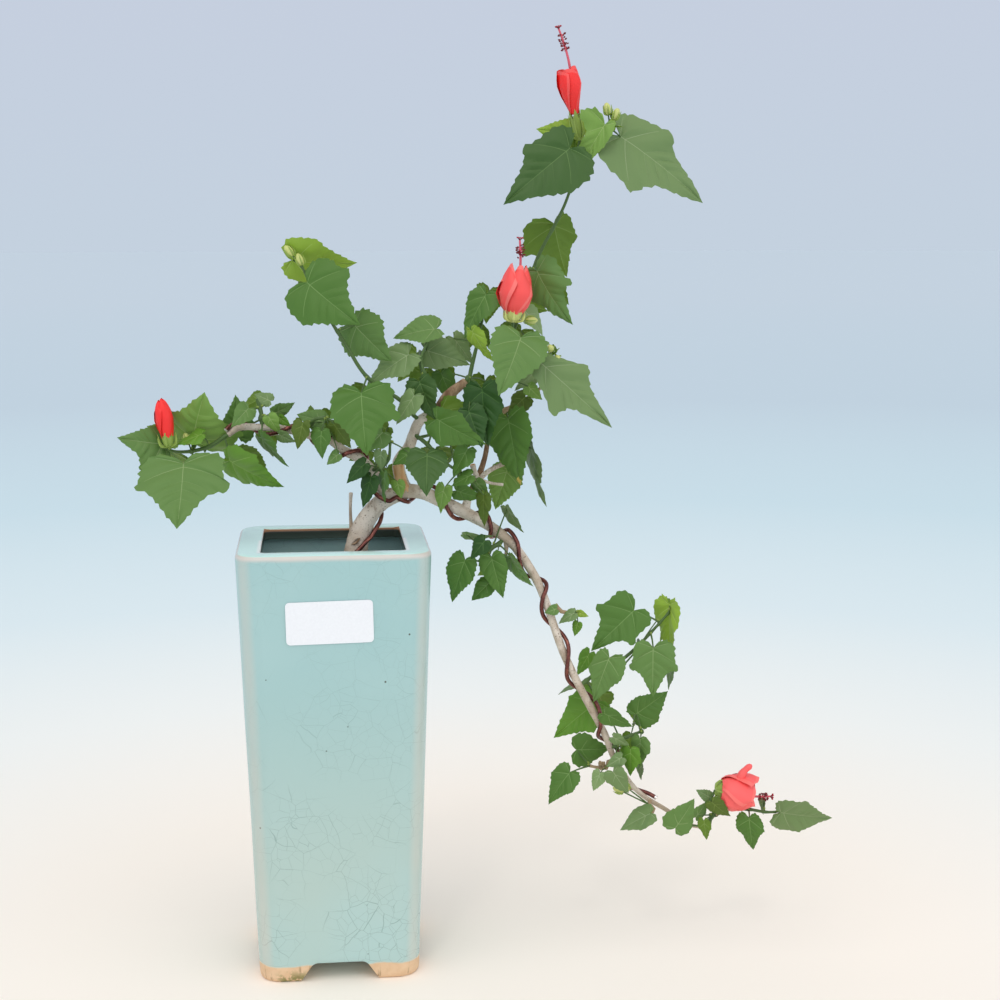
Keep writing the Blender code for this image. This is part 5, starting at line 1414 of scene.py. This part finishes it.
# A bud's bracts: radius and height over the bud's radius, and thickness in mm.
BUD_BRACT = ((0.2, -0.6, 0.3), (1.0, -0.1, 0.5), (1.1, 0.9, 0.4), (1.1, 1.9, 0.1))
BUD_BRACTS = 5
BUD_SCALES = 16


def grow_stems(name, spec, limb_path, space):
    """The mass's stems as coarse solids in the space; their paths and the nodes on them."""
    main = stem_path(spec["stems"][0], stem_foot(limb_path, place(*spec["stems"][0][0])))
    paths = [main] + [stem_path(knots) for knots in spec["stems"][1:]]
    nodes = np.vstack(paths)
    for path in paths:
        space.add(name, *tube_data(path, STEM_SIDES))
    for across, depth, up, heading, length, girth, form in spec["flowers"]:
        foot, axis = place(across, depth, up), heading_axis(heading)
        rows = [[*(foot + axis * (share * length * MM)), radius * girth * length * MM]
                for share, radius in FLOWER_PROFILES[form]]
        space.add(name, *tube_data(rows, STEM_SIDES))
    for bud in spec["buds"]:
        centre = place(*bud)
        root = node_near(nodes, centre)
        if (centre - root).length > BUD_RADIUS:
            space.add(name, *stalk_data(root, centre))
        ends = [[*(centre + TO_FRONT * (sign * 0.7 * BUD_RADIUS)), 0.8 * BUD_RADIUS]
                for sign in (-1, 1)]
        space.add(name, *tube_data(ends, STEM_SIDES))
    return paths, np.vstack([path[1:] for path in paths])


def grow_leaves(name, spec, nodes, space, rng):
    """Every leaf of a mass as (number, foot, axes, length, root), and the twig behind.

    The leaves behind the front ones have no number.
    """
    placed, twig = [], None
    for index, leaf in enumerate(spec["leaves"]):
        found = place_leaf(name, leaf, nodes, space)
        if not found:
            found = place_leaf(name, leaf, nodes, space, own_parts(name))
        if found:
            placed.append((index, *found))
    behind = back_leaves(spec["leaves"], spec["alone"], rng)
    if len(behind) >= BACK_TWIG_MIN:
        path = back_twig(behind, nodes)
        if not space.hits(*tube_data(path[1:], TWIG_SIDES, GAP), ignore=(name,)):
            space.add(name, *tube_data(path, TWIG_SIDES))
            nodes = np.vstack([nodes, path[1:]])
            twig = path
    for leaf in behind:
        found = place_leaf(name, leaf, nodes, space)
        if found:
            placed.append((None, *found))
    return placed, twig


def swelling(roots, path):
    """Relief that thickens a stem at each stalk's root."""
    lengths = path_lengths(path)
    marks = [lengths[nearest_on(path, root)] for root in roots]

    def relief(distance, _angle):
        return 1 + NODE_SWELL * sum(math.exp(-((distance - mark) / (1.1 * MM)) ** 2) for mark in marks)

    return relief


def sprout(leaves, twigs, path, rng, count=3):
    """Young blades round a stem's growing tip."""
    tip, before = Vector(path[-1, :3]), Vector(path[-3, :3])
    axis = (tip - before).normalized()
    side = axis.cross(TO_FRONT)
    side = side.normalized() if side.length > 0.1 else axis.orthogonal().normalized()
    spin = rng.uniform(0, math.tau)
    for k in range(count):
        out = sideways(axis, side, spin + math.tau * k / count)
        rib = (axis + out * rng.uniform(0.5, 0.9)).normalized()
        normal = (axis - rib * axis.dot(rib)).normalized()
        length = rng.uniform(*SPROUT_LENGTH)
        root = tip.lerp(before, 0.3 * k)
        foot = root + rib * (rng.uniform(1.2, 2.4) * MM)
        axes = (rib, normal.cross(rib), normal)
        look = leaf_look(length, rng, ("young", "fresh"), fold=0.5)
        add_blade(leaves, foot, axes, length, look, rng)
        add_stalk(twigs, root, foot, axes, length, rng)


def add_bud(blossom, twigs, centre, nodes, rng):
    """A flower bud with its bracts, on a stalk where it stands off the stem."""
    root = node_near(nodes, centre)
    span = (centre - root).length
    axis = (centre - root).normalized() if span > 1e-6 else UP
    if span > BUD_RADIUS:
        add_thread(twigs, root, centre, (0.5, 0.42), 7, "stem_green")
    add_ball(blossom, centre, axis, 0.92 * BUD_RADIUS, 1.8, "bud_pale", 0.05, rng, 2)
    spot = around(centre - axis * (0.9 * BUD_RADIUS), axis)
    for k in range(BUD_BRACTS):
        angle = math.tau * k / BUD_BRACTS
        rows = [[*spot(reach * BUD_RADIUS, angle, height * BUD_RADIUS), thick * MM]
                for reach, height, thick in BUD_BRACT]
        blossom.tube(curve_through(rows, 0.8 * MM), 5, "calyx_green")


def add_stem(twigs, path, roots, wood):
    """A stem's fine mesh, let a little into its limb and thicker where stalks leave it."""
    foot = Vector(path[0, :3])
    start = 2 * foot - Vector(path[1, :3])
    inward = foot.lerp(start, min(1.0, 1.2 * MM / max((start - foot).length, 1e-6)))
    fine = curve_through(np.vstack([[*inward, path[0, 3] * 1.15], path]), TWIG_STEP)
    near = [root for root in roots if (node_near(path, root) - root).length < 1 * MM]
    twigs.tube(fine, 8, wood, swelling(near, fine))
    return fine


def dress_mass(index, name, spec, paths, nodes, space):
    """The mass's leaves, twigs and blossom, each joined as one piece."""
    placed, behind = grow_leaves(name, spec, nodes, space, random.Random(SEED + index))
    rng = random.Random(100 * SEED + index)
    leaves, twigs, blossom = Builder(), Builder(), Builder()
    roots = [item[4] for item in placed]
    wood = "twig_bark" if spec["woody"] else "stem_green"
    for number, path in enumerate(paths if behind is None else [*paths, behind]):
        fine = add_stem(twigs, path, roots, wood)
        if number == spec["sprout"]:
            sprout(leaves, twigs, fine, rng)
    for number, foot, axes, length, root in placed:
        own = dict(spec["looks"].get(number, {}))
        if number is not None and number < len(spec["tones"]):
            own["tone"] = spec["tones"][number]
        look = leaf_look(length, rng, spec["tones"], **own)
        add_blade(leaves, foot, axes, length, look, rng)
        add_stalk(twigs, root, foot, axes, length, rng)
        way = (foot - root).normalized()
        bud = root + way * (1.4 * MM) + UP * (1.0 * MM)
        add_ball(twigs, bud, way, 0.75 * MM, 1.5, "bud_green")
    for flower in spec["flowers"]:
        add_flower(blossom, flower, BLOOMS[name], rng)
    for bud in spec["buds"]:
        add_bud(blossom, twigs, place(*bud), nodes, rng)
    if spec["scales"]:
        centre = place(*spec["scales"])
        for _ in range(BUD_SCALES):
            way = Vector([rng.gauss(0, 1) for _axis in range(3)]).normalized()
            spot = centre + way * (rng.uniform(0.8, 2.6) * MM)
            add_ball(twigs, spot, way, rng.uniform(0.7, 1.2) * MM, rng.uniform(1.4, 2.2),
                     "twig_bark", 0.12, rng)
    for kind, builder in (("leaves", leaves), ("twigs", twigs), ("blossom", blossom)):
        if builder.count:
            dress(builder.piece(f"{name}_{kind}"), "foliage", name)


# ---------------------------------------------------------------- limbs
BARK_STEP = 0.9 * MM
BARK_FACET = 0.85 * MM            # width of a facet round a limb
ROOT_LOBES = 5
CUT_END = 0.35 * MM               # how far a limb's cut end stands out
# An eye-shaped scar on the trunk's front, in mm: its middle (across, up), its half width and
# height, how far it tilts, and the trunk's radius and middle there.
SCAR_MIDDLE, SCAR_HALF, SCAR_TILT = (14.4, 258.0), (2.6, 1.3), 2.0
SCAR_TRUNK = (7.6, 16.0)


def bark_relief(seed, radius, flare, roots):
    """Lenticels, ridges and wrinkles on a limb, with its collar at the foot."""
    def relief(distance, angle):
        s = distance / MM
        x, y = math.cos(angle), math.sin(angle)
        spot = Vector((x * radius / MM, y * radius / MM, 0.35 * s + 17 * seed))
        value = 1 + 0.050 * noise.noise(spot * 0.22) + 0.030 * noise.noise(spot * 0.8)
        dash = noise.noise(Vector((x * 2.2, y * 2.2, 1.5 * s + 31 * seed)))
        value += 0.035 * max(0.0, dash - 0.25) / 0.5
        wrinkle = noise.noise(Vector((x, y, 0.6 * s + 7 * seed)))
        value += 0.012 * math.sin(2.1 * s + 4 * wrinkle)
        value += flare * math.exp(-max(0.0, s - 3) / 3.5)
        if roots:
            value += 0.16 * math.cos(ROOT_LOBES * angle + 0.7) * math.exp(-s / 9)
            value += 0.20 * math.exp(-s / 6)
        return value
    return relief


def limb_tube(builder, path, seed, paint, flare=0.0, roots=False):
    """A limb with relief; paint(distance in mm, facing) names the material of each facet."""
    fine = curve_through(path, BARK_STEP)
    widest = float(fine[:, 3].max())
    sides = max(14, min(44, int(math.tau * widest / BARK_FACET)))
    end = fine[-1].copy()
    ahead = fine[-1, :3] - fine[-2, :3]
    end[:3] += ahead / np.linalg.norm(ahead) * CUT_END
    end[3] *= 0.80
    fine = np.vstack([fine, end])
    verts, faces = tube_data(fine, sides, relief=bark_relief(seed, widest, flare, roots))
    lengths = path_lengths(fine)
    names = []
    for index in range(len(faces) - 2):
        i = index // sides
        centre = Vector(fine[i, :3])
        facing = (verts[index] - centre).normalized().dot(TO_FRONT)
        names.append(paint(lengths[i] / MM, facing))
    names += ["wound", "wound"]
    builder.add(verts, faces, names)


def paint_bark(_distance, _facing):
    return "bark"


def paint_crown(distance, facing):
    """An old wound on the front low down, and browner bark further up."""
    if distance < 22 and facing > 0.55 + 0.02 * abs(distance - 12):
        return "wound"
    return "brown_bark" if distance > 52 else "bark"


def paint_top(distance, _facing):
    return "brown_bark" if distance > 8 else "bark"


def paint_cascade(distance, facing):
    return "brown_bark" if facing < -0.4 and distance % 37 < 9 else "bark"


def add_scar(builder):
    """The two lips of the scar, the upper one pale."""
    radius, middle = SCAR_TRUNK
    for way, name in ((-1, "brown_bark"), (1, "bark")):
        rows = []
        for t in np.linspace(-1, 1, 9):
            across = SCAR_MIDDLE[0] + SCAR_HALF[0] * t
            up = SCAR_MIDDLE[1] + SCAR_HALF[1] * way * (1 - t * t) + SCAR_TILT * t
            depth = -math.sqrt(max(0.0, radius ** 2 - (across - middle) ** 2))
            rows.append([*place(across, depth, up), (0.3 + 0.35 * (1 - t * t)) * MM])
        builder.tube(rows, 7, name)


def build_limbs(paths):
    plan = (
        ("trunk", paint_bark, 0.0, True, [TRUNK_STUB]),
        ("cascade_bough_upper", paint_cascade, 0.0, False, [CASCADE_STUB]),
        ("cascade_bough_lower", paint_cascade, 0.0, False, []),
        ("crown_bough", paint_crown, 0.22, False, [CROWN_STUB]),
        ("left_bough", paint_bark, 0.30, False, []),
        ("top_bough", paint_top, 0.30, False, TOP_STUBS),
    )
    for seed, (name, paint, flare, roots, stubs) in enumerate(plan):
        builder = Builder()
        limb_tube(builder, paths[name], seed, paint, flare, roots)
        for number, stub in enumerate(stubs):
            limb_tube(builder, smooth_path(stub, LIMB_STEP), 10 * seed + number, paint_bark, 0.2)
        if name == "trunk":
            add_scar(builder)
        dress(builder.piece(f"{name}_bark"), "bark", name)


# ---------------------------------------------------------------- pot, soil, label
FLAT_POINTS = 7                   # on each side of a section, between its corners
HAND_WOBBLE = 0.16 * MM           # how far the walls wave
RIM_ROUND = 3 * MM                # the outer edge of the rim
# In mm: the foot's rounded edge, as insets, tighter corners and heights, and the lip's inner
# one, as reaches over the mouth and drops below the rim.
FOOT_EDGE = ((2.2, 2.0, 0.0), (1.0, 1.0, 0.4), (0.2, 0.0, 1.6))
LIP_EDGE = ((1.4, 0.1), (0.6, 0.4), (0.1, 1.2), (0.0, 2.4))
SOIL_CLEAR = 0.5 * MM             # between the soil and the pot
SOIL_STEPS = 44                   # faces along each side of its top
GRAINS = 520


def half_width(z):
    return 0.5 * (FOOT_WIDTH + (RIM_WIDTH - FOOT_WIDTH) * z / POT_HEIGHT)


def square_section(half, radius, z, wobble=0.0):
    """Points round a square with rounded corners; flats are cut so that they can wave a little."""
    points = []
    for corner in range(4):
        turn = Matrix.Rotation(corner * math.pi / 2, 3, "Z")
        for k in range(CORNER_SEGMENTS + 1):
            angle = 0.5 * math.pi * k / CORNER_SEGMENTS
            points.append(turn @ Vector((half - radius + radius * math.cos(angle),
                                         half - radius + radius * math.sin(angle), z)))
        for k in range(1, FLAT_POINTS + 1):
            x = (half - radius) * (1 - 2 * k / (FLAT_POINTS + 1))
            points.append(turn @ Vector((x, half, z)))
    for point in points:
        shift = noise.noise(Vector((point.x, point.y, 0.6 * z)) * 24)
        point.xy *= 1 + wobble * shift / half
    return points


def loft(sections, name):
    """Closed mesh through the sections, capped at both ends."""
    mesh = bpy.data.meshes.new(name)
    mesh.from_pydata([point for section in sections for point in section], [],
                     ring_solid(len(sections), len(sections[0])))
    return mesh


def block_tool(name, bm, tools):
    bmesh.ops.recalc_face_normals(bm, faces=bm.faces)
    tools.objects.link(bpy.data.objects.new(name, take_mesh(name, bm)))


def modify(obj, name, kind, **settings):
    modifier = obj.modifiers.new(name, kind)
    for key, value in settings.items():
        setattr(modifier, key, value)


def apply_modifiers(obj):
    depsgraph = bpy.context.evaluated_depsgraph_get()
    mesh = bpy.data.meshes.new_from_object(obj.evaluated_get(depsgraph))
    obj.modifiers.clear()
    obj.data = mesh


def pot_sections():
    """The pot's sections: up its walls, over the rim and down inside to its floor."""
    lip, inner = POT_HEIGHT - LIP_DEPTH, 0.5 * MOUTH_WIDTH
    sections = [square_section(half_width(0) - inset * MM, CORNER_RADIUS - tighter * MM, z * MM)
                for inset, tighter, z in FOOT_EDGE]
    for z in np.linspace(4 * MM, POT_HEIGHT - RIM_ROUND, 46):
        sections.append(square_section(half_width(z), CORNER_RADIUS, z, HAND_WOBBLE))
    for k in range(1, 6):
        angle = 0.5 * math.pi * k / 5
        inset, drop = RIM_ROUND * (1 - math.cos(angle)), RIM_ROUND * (1 - math.sin(angle))
        tighter = 2 * MM * (1 - math.cos(angle))
        sections.append(square_section(half_width(POT_HEIGHT) - inset, CORNER_RADIUS - tighter,
                                       POT_HEIGHT - drop, HAND_WOBBLE))
    sections.append(square_section(inner + 6 * MM, CORNER_RADIUS - 6 * MM, POT_HEIGHT - 0.05 * MM,
                                   HAND_WOBBLE))
    for reach, drop in LIP_EDGE:
        sections.append(square_section(inner + reach * MM, MOUTH_RADIUS + 0.4 * reach * MM,
                                       POT_HEIGHT - drop * MM, HAND_WOBBLE))
    sections += [square_section(inner, MOUTH_RADIUS, lip + 0.8 * MM, HAND_WOBBLE),
                 square_section(inner + 0.8 * MM, MOUTH_RADIUS + 0.4 * MM, lip),
                 square_section(half_width(lip) - WALL, CORNER_RADIUS - WALL, lip - 0.6 * MM)]
    return sections + [square_section(half_width(z) - WALL, CORNER_RADIUS - WALL, z)
                       for z in np.linspace(lip - 6 * MM, FLOOR_TOP, 12)]


def arch_tool(turn):
    """The gap between two pairs of feet, wider below, right through the pot."""
    bm = bmesh.new()
    bmesh.ops.create_cube(bm, size=2.0)
    for vert in bm.verts:
        high = vert.co.z > 0
        half = 0.5 * (ARCH_TOP if high else 1.1 * ARCH_BOTTOM - 0.1 * ARCH_TOP)
        vert.co = Vector((vert.co.x * half, vert.co.y * RIM_WIDTH,
                          ARCH_HEIGHT if high else -0.1 * ARCH_HEIGHT))
    bmesh.ops.rotate(bm, verts=bm.verts, matrix=Matrix.Rotation(turn, 3, "Z"))
    top_edges = [edge for edge in bm.edges if edge.calc_length() > RIM_WIDTH
                 and min(vert.co.z for vert in edge.verts) > 0]
    bmesh.ops.bevel(bm, geom=top_edges, offset=2.5 * MM, segments=5, affect="EDGES", profile=0.5)
    return bm


def build_pot():
    """The hollow pot, with its feet and drain hole cut out and its edges softened."""
    pot = add_object("pot_glazed", loft(pot_sections(), "pot_glazed"))
    tools = bpy.data.collections.new("pot_tools")
    bpy.context.scene.collection.children.link(tools)
    for number in range(2):
        block_tool(f"arch_{number}", arch_tool(number * math.pi / 2), tools)
    drain = bmesh.new()
    bmesh.ops.create_cone(drain, cap_ends=True, segments=40, radius1=DRAIN_RADIUS, radius2=DRAIN_RADIUS,
                          depth=2 * FLOOR_TOP, matrix=Matrix.Translation((0, 0, FLOOR_TOP)))
    block_tool("drain", drain, tools)
    modify(pot, "feet", "BOOLEAN", operation="DIFFERENCE", solver="EXACT", operand_type="COLLECTION",
           collection=tools)
    modify(pot, "soft_edges", "BEVEL", width=0.9 * MM, segments=2, limit_method="ANGLE",
           angle_limit=math.radians(38))
    apply_modifiers(pot)
    for tool in list(tools.objects):
        bpy.data.objects.remove(tool, do_unlink=True)
    bpy.data.collections.remove(tools)
    for vert in pot.data.vertices:
        vert.co += CENTRE
    pot.data.polygons.foreach_set("use_smooth", [True] * len(pot.data.polygons))
    pot.data.set_sharp_from_angle(angle=math.radians(40))
    pot.data.materials.append(MATERIALS["glaze"])
    dress(pot, "glaze", "pot")


def build_soil():
    """The soil with an uneven top, strewn with grains."""
    rng = random.Random(SEED)
    half = half_width(SOIL_TOP) - WALL - SOIL_CLEAR
    low_half = half_width(FLOOR_TOP) - WALL - SOIL_CLEAR
    row = SOIL_STEPS + 1

    def mound(x, y):
        return 1.3 * MM * noise.noise(Vector((x, y, 0)) * 90)

    verts = []
    for i, j in itertools.product(range(row), range(row)):
        x, y = (half * (2 * k / SOIL_STEPS - 1) for k in (i, j))
        lift = mound(x, y) + 0.5 * MM * noise.noise(Vector((x, y, 1)) * 400)
        verts.append(Vector((x, y, SOIL_TOP - 1.2 * MM + lift)) + CENTRE)
    grid, rim = grid_faces(row, row)
    faces = [quad[:1] + quad[:0:-1] for quad in grid]
    rim = rim[:1] + rim[:0:-1]
    base = len(verts)
    for k in rim:
        x, y, _z = (verts[k] - CENTRE) * (low_half / half)
        verts.append(Vector((x, y, FLOOR_TOP + 0.3 * MM)) + CENTRE)
    for k in range(len(rim)):
        n = (k + 1) % len(rim)
        faces.append((rim[n], rim[k], base + k, base + n))
    faces.append(tuple(base + k for k in range(len(rim))))
    builder = Builder()
    builder.add(verts, faces, "soil_grains")
    for _ in range(GRAINS):
        x, y = (rng.uniform(-half + 2 * MM, half - 2 * MM) for _axis in range(2))
        radius = rng.uniform(0.7, 2.1) * MM
        centre = Vector((x, y, SOIL_TOP - 1.0 * MM + mound(x, y))) + CENTRE
        axis = Vector([rng.uniform(-1, 1) for _axis in range(3)]).normalized()
        add_ball(builder, centre, axis, radius, rng.uniform(0.7, 1.2), "soil_grains", 0.16, rng, 2)
    dress(builder.piece("soil_surface", 30), "earth", "soil")


def build_label():
    """A blank sticker with rounded corners, on the sloping front wall."""
    wide, thick, tall = LABEL_SIZE
    outline = []
    for corner, (sx, sz) in enumerate(((1, 1), (-1, 1), (-1, -1), (1, -1))):
        for k in range(LABEL_SEGMENTS + 1):
            angle = math.pi / 2 * (corner + k / LABEL_SEGMENTS)
            outline.append((sx * (wide / 2 - LABEL_ROUND) + LABEL_ROUND * math.cos(angle),
                            sz * (tall / 2 - LABEL_ROUND) + LABEL_ROUND * math.sin(angle)))
    mesh = loft([[(x, y * thick, z) for x, z in outline] for y in (0.3, -0.5)], "blank_label")
    slope = math.atan2(0.5 * (RIM_WIDTH - FOOT_WIDTH), POT_HEIGHT)
    front_at = half_width(LABEL_HEIGHT) + (0.5 * thick + GAP) / math.cos(slope)
    turn = Matrix.Rotation(slope, 4, "X") @ Matrix.Rotation(LABEL_TURN, 4, "Y")
    middle = Matrix.Translation(Vector((LABEL_ACROSS, -front_at, LABEL_HEIGHT)) + CENTRE)
    mesh.transform(middle @ turn)
    mesh.materials.append(MATERIALS["paper"])
    dress(add_object("blank_label", mesh), "paper", "label")


# ---------------------------------------------------------------- stage, light, camera
LENS = 64.4
SENSOR = 36.0
VIEW_FROM = (100.3, -1056.2, 438.9)       # across, depth, up in mm
VIEW_DOWN, VIEW_ROLL = 0.1481, -0.002     # radians
FLOOR_RADIUS = 45.0
# The floor's colour by its distance from the origin in metres, a painted pool of light: bright and warm
# near the pot, dimmer and cooler further off.
FLOOR_FADE = [(0.28, (255, 247, 236)), (0.6, (241, 244, 241)), (1.06, (220, 234, 238)),
              (1.9, (202, 223, 231)), (3.7, (194, 211, 222)), (11.0, (197, 211, 222))]
# The backdrop's colour by the height that it is seen at, from the horizon up.
SKY_FADE = [(0.0, (196, 209, 223)), (0.25, (199, 205, 223)), (0.6, (206, 207, 210))]
SUN_COLOUR = (1.0, 0.975, 0.94)
# Lamps: strength, size in degrees, and where they shine from.
SUNS = (("key", 0.80, 70, (-0.5, -1.0, 1.5)), ("fill", 0.40, 60, (0.9, -0.7, 0.5)),
        ("sky", 0.30, 150, (0.2, -0.6, 1.0)), ("glint", 0.16, 7, (-0.35, -1.0, 1.3)))


def colour_ramp(node, fade, reach=1.0):
    ramp = node.color_ramp
    while len(ramp.elements) < len(fade):
        ramp.elements.new(0.5)
    for element, (distance, colour) in zip(ramp.elements, fade):
        element.position = distance / reach
        element.color = linear(colour)


def build_stage():
    """A wide pale floor, cream near the pot and cooler further off, the fade a painted pool of light
    round the pot.
    """
    bm = bmesh.new()
    bmesh.ops.create_circle(bm, cap_ends=True, segments=96, radius=FLOOR_RADIUS)
    graph = Graph("floor", 0.9, Specular_IOR_Level=0.1)
    coordinates = graph.node("ShaderNodeTexCoord").outputs["Object"]
    reach = graph.node("ShaderNodeVectorMath", {0: coordinates}, operation="LENGTH").outputs["Value"]
    ramp = graph.node("ShaderNodeValToRGB", {0: graph.math("DIVIDE", reach, FLOOR_FADE[-1][0])})
    colour_ramp(ramp, FLOOR_FADE, FLOOR_FADE[-1][0])
    graph.feed("Base Color", ramp.outputs[0])
    floor = add_object("floor", take_mesh("floor", bm))
    floor.data.materials.append(graph.material)


def build_light():
    bpy.context.scene.view_settings.view_transform = "Standard"
    world = bpy.data.worlds.new("studio")
    bpy.context.scene.world = world
    world.use_nodes = True
    tree = world.node_tree
    background = tree.nodes["Background"]
    coordinates = tree.nodes.new("ShaderNodeTexCoord")
    split = tree.nodes.new("ShaderNodeSeparateXYZ")
    ramp = tree.nodes.new("ShaderNodeValToRGB")
    tree.links.new(coordinates.outputs["Generated"], split.inputs[0])
    tree.links.new(split.outputs[2], ramp.inputs[0])
    tree.links.new(ramp.outputs[0], background.inputs[0])
    colour_ramp(ramp, SKY_FADE)
    background.inputs[1].default_value = 1.0
    for name, energy, size, where in SUNS:
        sun = bpy.data.lights.new(name, "SUN")
        sun.energy = energy
        sun.angle = math.radians(size)
        sun.color = SUN_COLOUR
        lamp = add_object(name, sun)
        lamp.rotation_euler = Vector(where).to_track_quat("Z", "Y").to_euler()


def build_camera():
    data = bpy.data.cameras.new("camera")
    data.lens = LENS
    data.sensor_width = SENSOR
    data.clip_start, data.clip_end = 0.01, 200.0
    camera = add_object("camera", data)
    forward = plant_direction(0, math.cos(VIEW_DOWN), -math.sin(VIEW_DOWN))
    right = plant_direction(1, 0, 0)
    up = right.cross(forward)
    turned = Matrix.Rotation(VIEW_ROLL, 3, -forward)
    right, up = turned @ right, turned @ up
    matrix = Matrix((right, up, -forward)).transposed().to_4x4()
    matrix.translation = place(*VIEW_FROM)
    camera.matrix_world = matrix
    bpy.context.scene.camera = camera


# ---------------------------------------------------------------- assembly
# Materials with two colours in a grain, in grained_material's order.
GRAINED = (
    ("brown_bark", 0.85, (260, 5, 0.6, (1.0, 1.0, 0.4)), (0.38, 0.66),
     ((122, 92, 66), (176, 148, 118)), 0.6, 0.35 * MM),
    ("wound", 0.75, (500, 4, 0.6, (1.0, 1.0, 0.2)), (0.35, 0.68),
     ((196, 142, 92), (222, 182, 136)), 0.4, 0.2 * MM),
    ("paper", 0.45, (700, 4, 0.5, None), (0.3, 0.75),
     ((243, 244, 246), (247, 248, 250)), 0.02, 0.02 * MM),
)
# Materials of one colour: colour, roughness, the grain's scale and its strength.
PLAIN = {
    "twig_bark": ((168, 144, 112), 0.8, 500, 0.4),
    "stem_green": ((78, 106, 50), 0.55, 600, 0.2),
    "bud_green": ((138, 158, 70), 0.55, 600, 0.2),
    "bud_pale": ((208, 214, 128), 0.55, 600, 0.2),
    "calyx_green": ((148, 172, 78), 0.5, 500, 0.2),
    "petal_red": ((254, 44, 40), 0.5, 500, 0.15),
    "petal_coral": ((255, 84, 80), 0.5, 500, 0.15),
    "petal_pale": ((255, 116, 110), 0.5, 500, 0.15),
    "petal_pink": ((255, 100, 98), 0.5, 500, 0.15),
    "column_red": ((226, 96, 112), 0.5, 700, 0.2),
    "stigma_red": ((176, 34, 52), 0.6, 900, 0.2),
    "anther_dark": ((120, 26, 32), 0.7, 900, 0.2),
    "leaf_under": (TONES["under"][0], 0.6, 700, 0.2),
}


def make_materials():
    made = {"bark": bark_material(), "soil_grains": soil_material(), "glaze": glaze_material()}
    for row in GRAINED:
        made[row[0]] = grained_material(*row)
    made["copper_wire"] = grained_material(
        "copper_wire", 0.27, (300, 3, 0.5, None), (0.45, 0.80), ((108, 62, 56), (158, 100, 84)),
        0.05, 0.1 * MM, Metallic=0.7)
    made["wire_cut"] = plain_material("wire_cut", (236, 230, 226), 0.3, Metallic=0.6)
    made["vein_under"] = plain_material("vein_under", TONES["under"][1], 0.6)
    for name, row in PLAIN.items():
        made[name] = plain_material(name, *row)
    # The tones' greens carry painted light, shade and sheen as well as the leaves' own colour.
    for tone, (blade, vein) in TONES.items():
        faint = tuple(b + (v - b) * VEIN_FADE for b, v in zip(blade, vein))
        for kind, colour in (("leaf", blade), ("vein", vein), ("faint", faint)):
            made[f"{kind}_{tone}"] = plain_material(f"{kind}_{tone}", colour, 0.5, 420, 0.22, 0.15 * MM,
                                                    Specular_IOR_Level=0.3)
    return made


def build_wires(paths):
    """The short wire up the trunk, and the long one from the left bough out along the cascade."""
    inward = paths["left_bough"][:1:-1]
    outward = np.vstack([paths["trunk"][-1:], paths["cascade_bough_upper"][1:],
                         paths["cascade_bough_lower"][1:]])
    fork = smooth_path(WIRE_FORK, LIMB_STEP)
    long_route = np.vstack([inward, fork, outward])
    fork_mark = path_lengths(np.vstack([inward, fork]))[-1] / MM
    long_marks = LEFT_WIRE_TURNS + [(fork_mark + mark, turn) for mark, turn in CASCADE_WIRE_TURNS]
    for name, route, marks in (("wire_trunk", paths["trunk"], TRUNK_WIRE_TURNS),
                               ("wire_boughs", long_route, long_marks)):
        builder = Builder()
        verts, faces = tube_data(wind(route, marks, WIRE_SMOOTH), WIRE_SIDES)
        names = ["copper_wire"] * (len(faces) - 2 - WIRE_SIDES) + ["wire_cut"] * (WIRE_SIDES + 2)
        builder.add(verts, faces, names)
        dress(builder.piece(f"{name}_copper"), "wire", name)


def main():
    space = Space()
    for node in (*LIMBS, "wire_trunk", "wire_boughs"):
        mesh = frame["nodes"][node].data
        space.add(node, [vert.co.copy() for vert in mesh.vertices],
                  [list(polygon.vertices) for polygon in mesh.polygons])
    paths = {name: smooth_path(knots, LIMB_STEP) for name, knots in LIMBS.items()}
    build_limbs(paths)
    build_wires(paths)
    grown = {name: grow_stems(name, spec, paths[spec["limb"]], space) for name, spec in MASSES.items()}
    for index, (name, spec) in enumerate(MASSES.items()):
        dress_mass(index, name, spec, *grown[name], space)
    build_pot()
    build_soil()
    build_label()
    build_stage()
    build_light()
    build_camera()


MATERIALS = make_materials()
main()
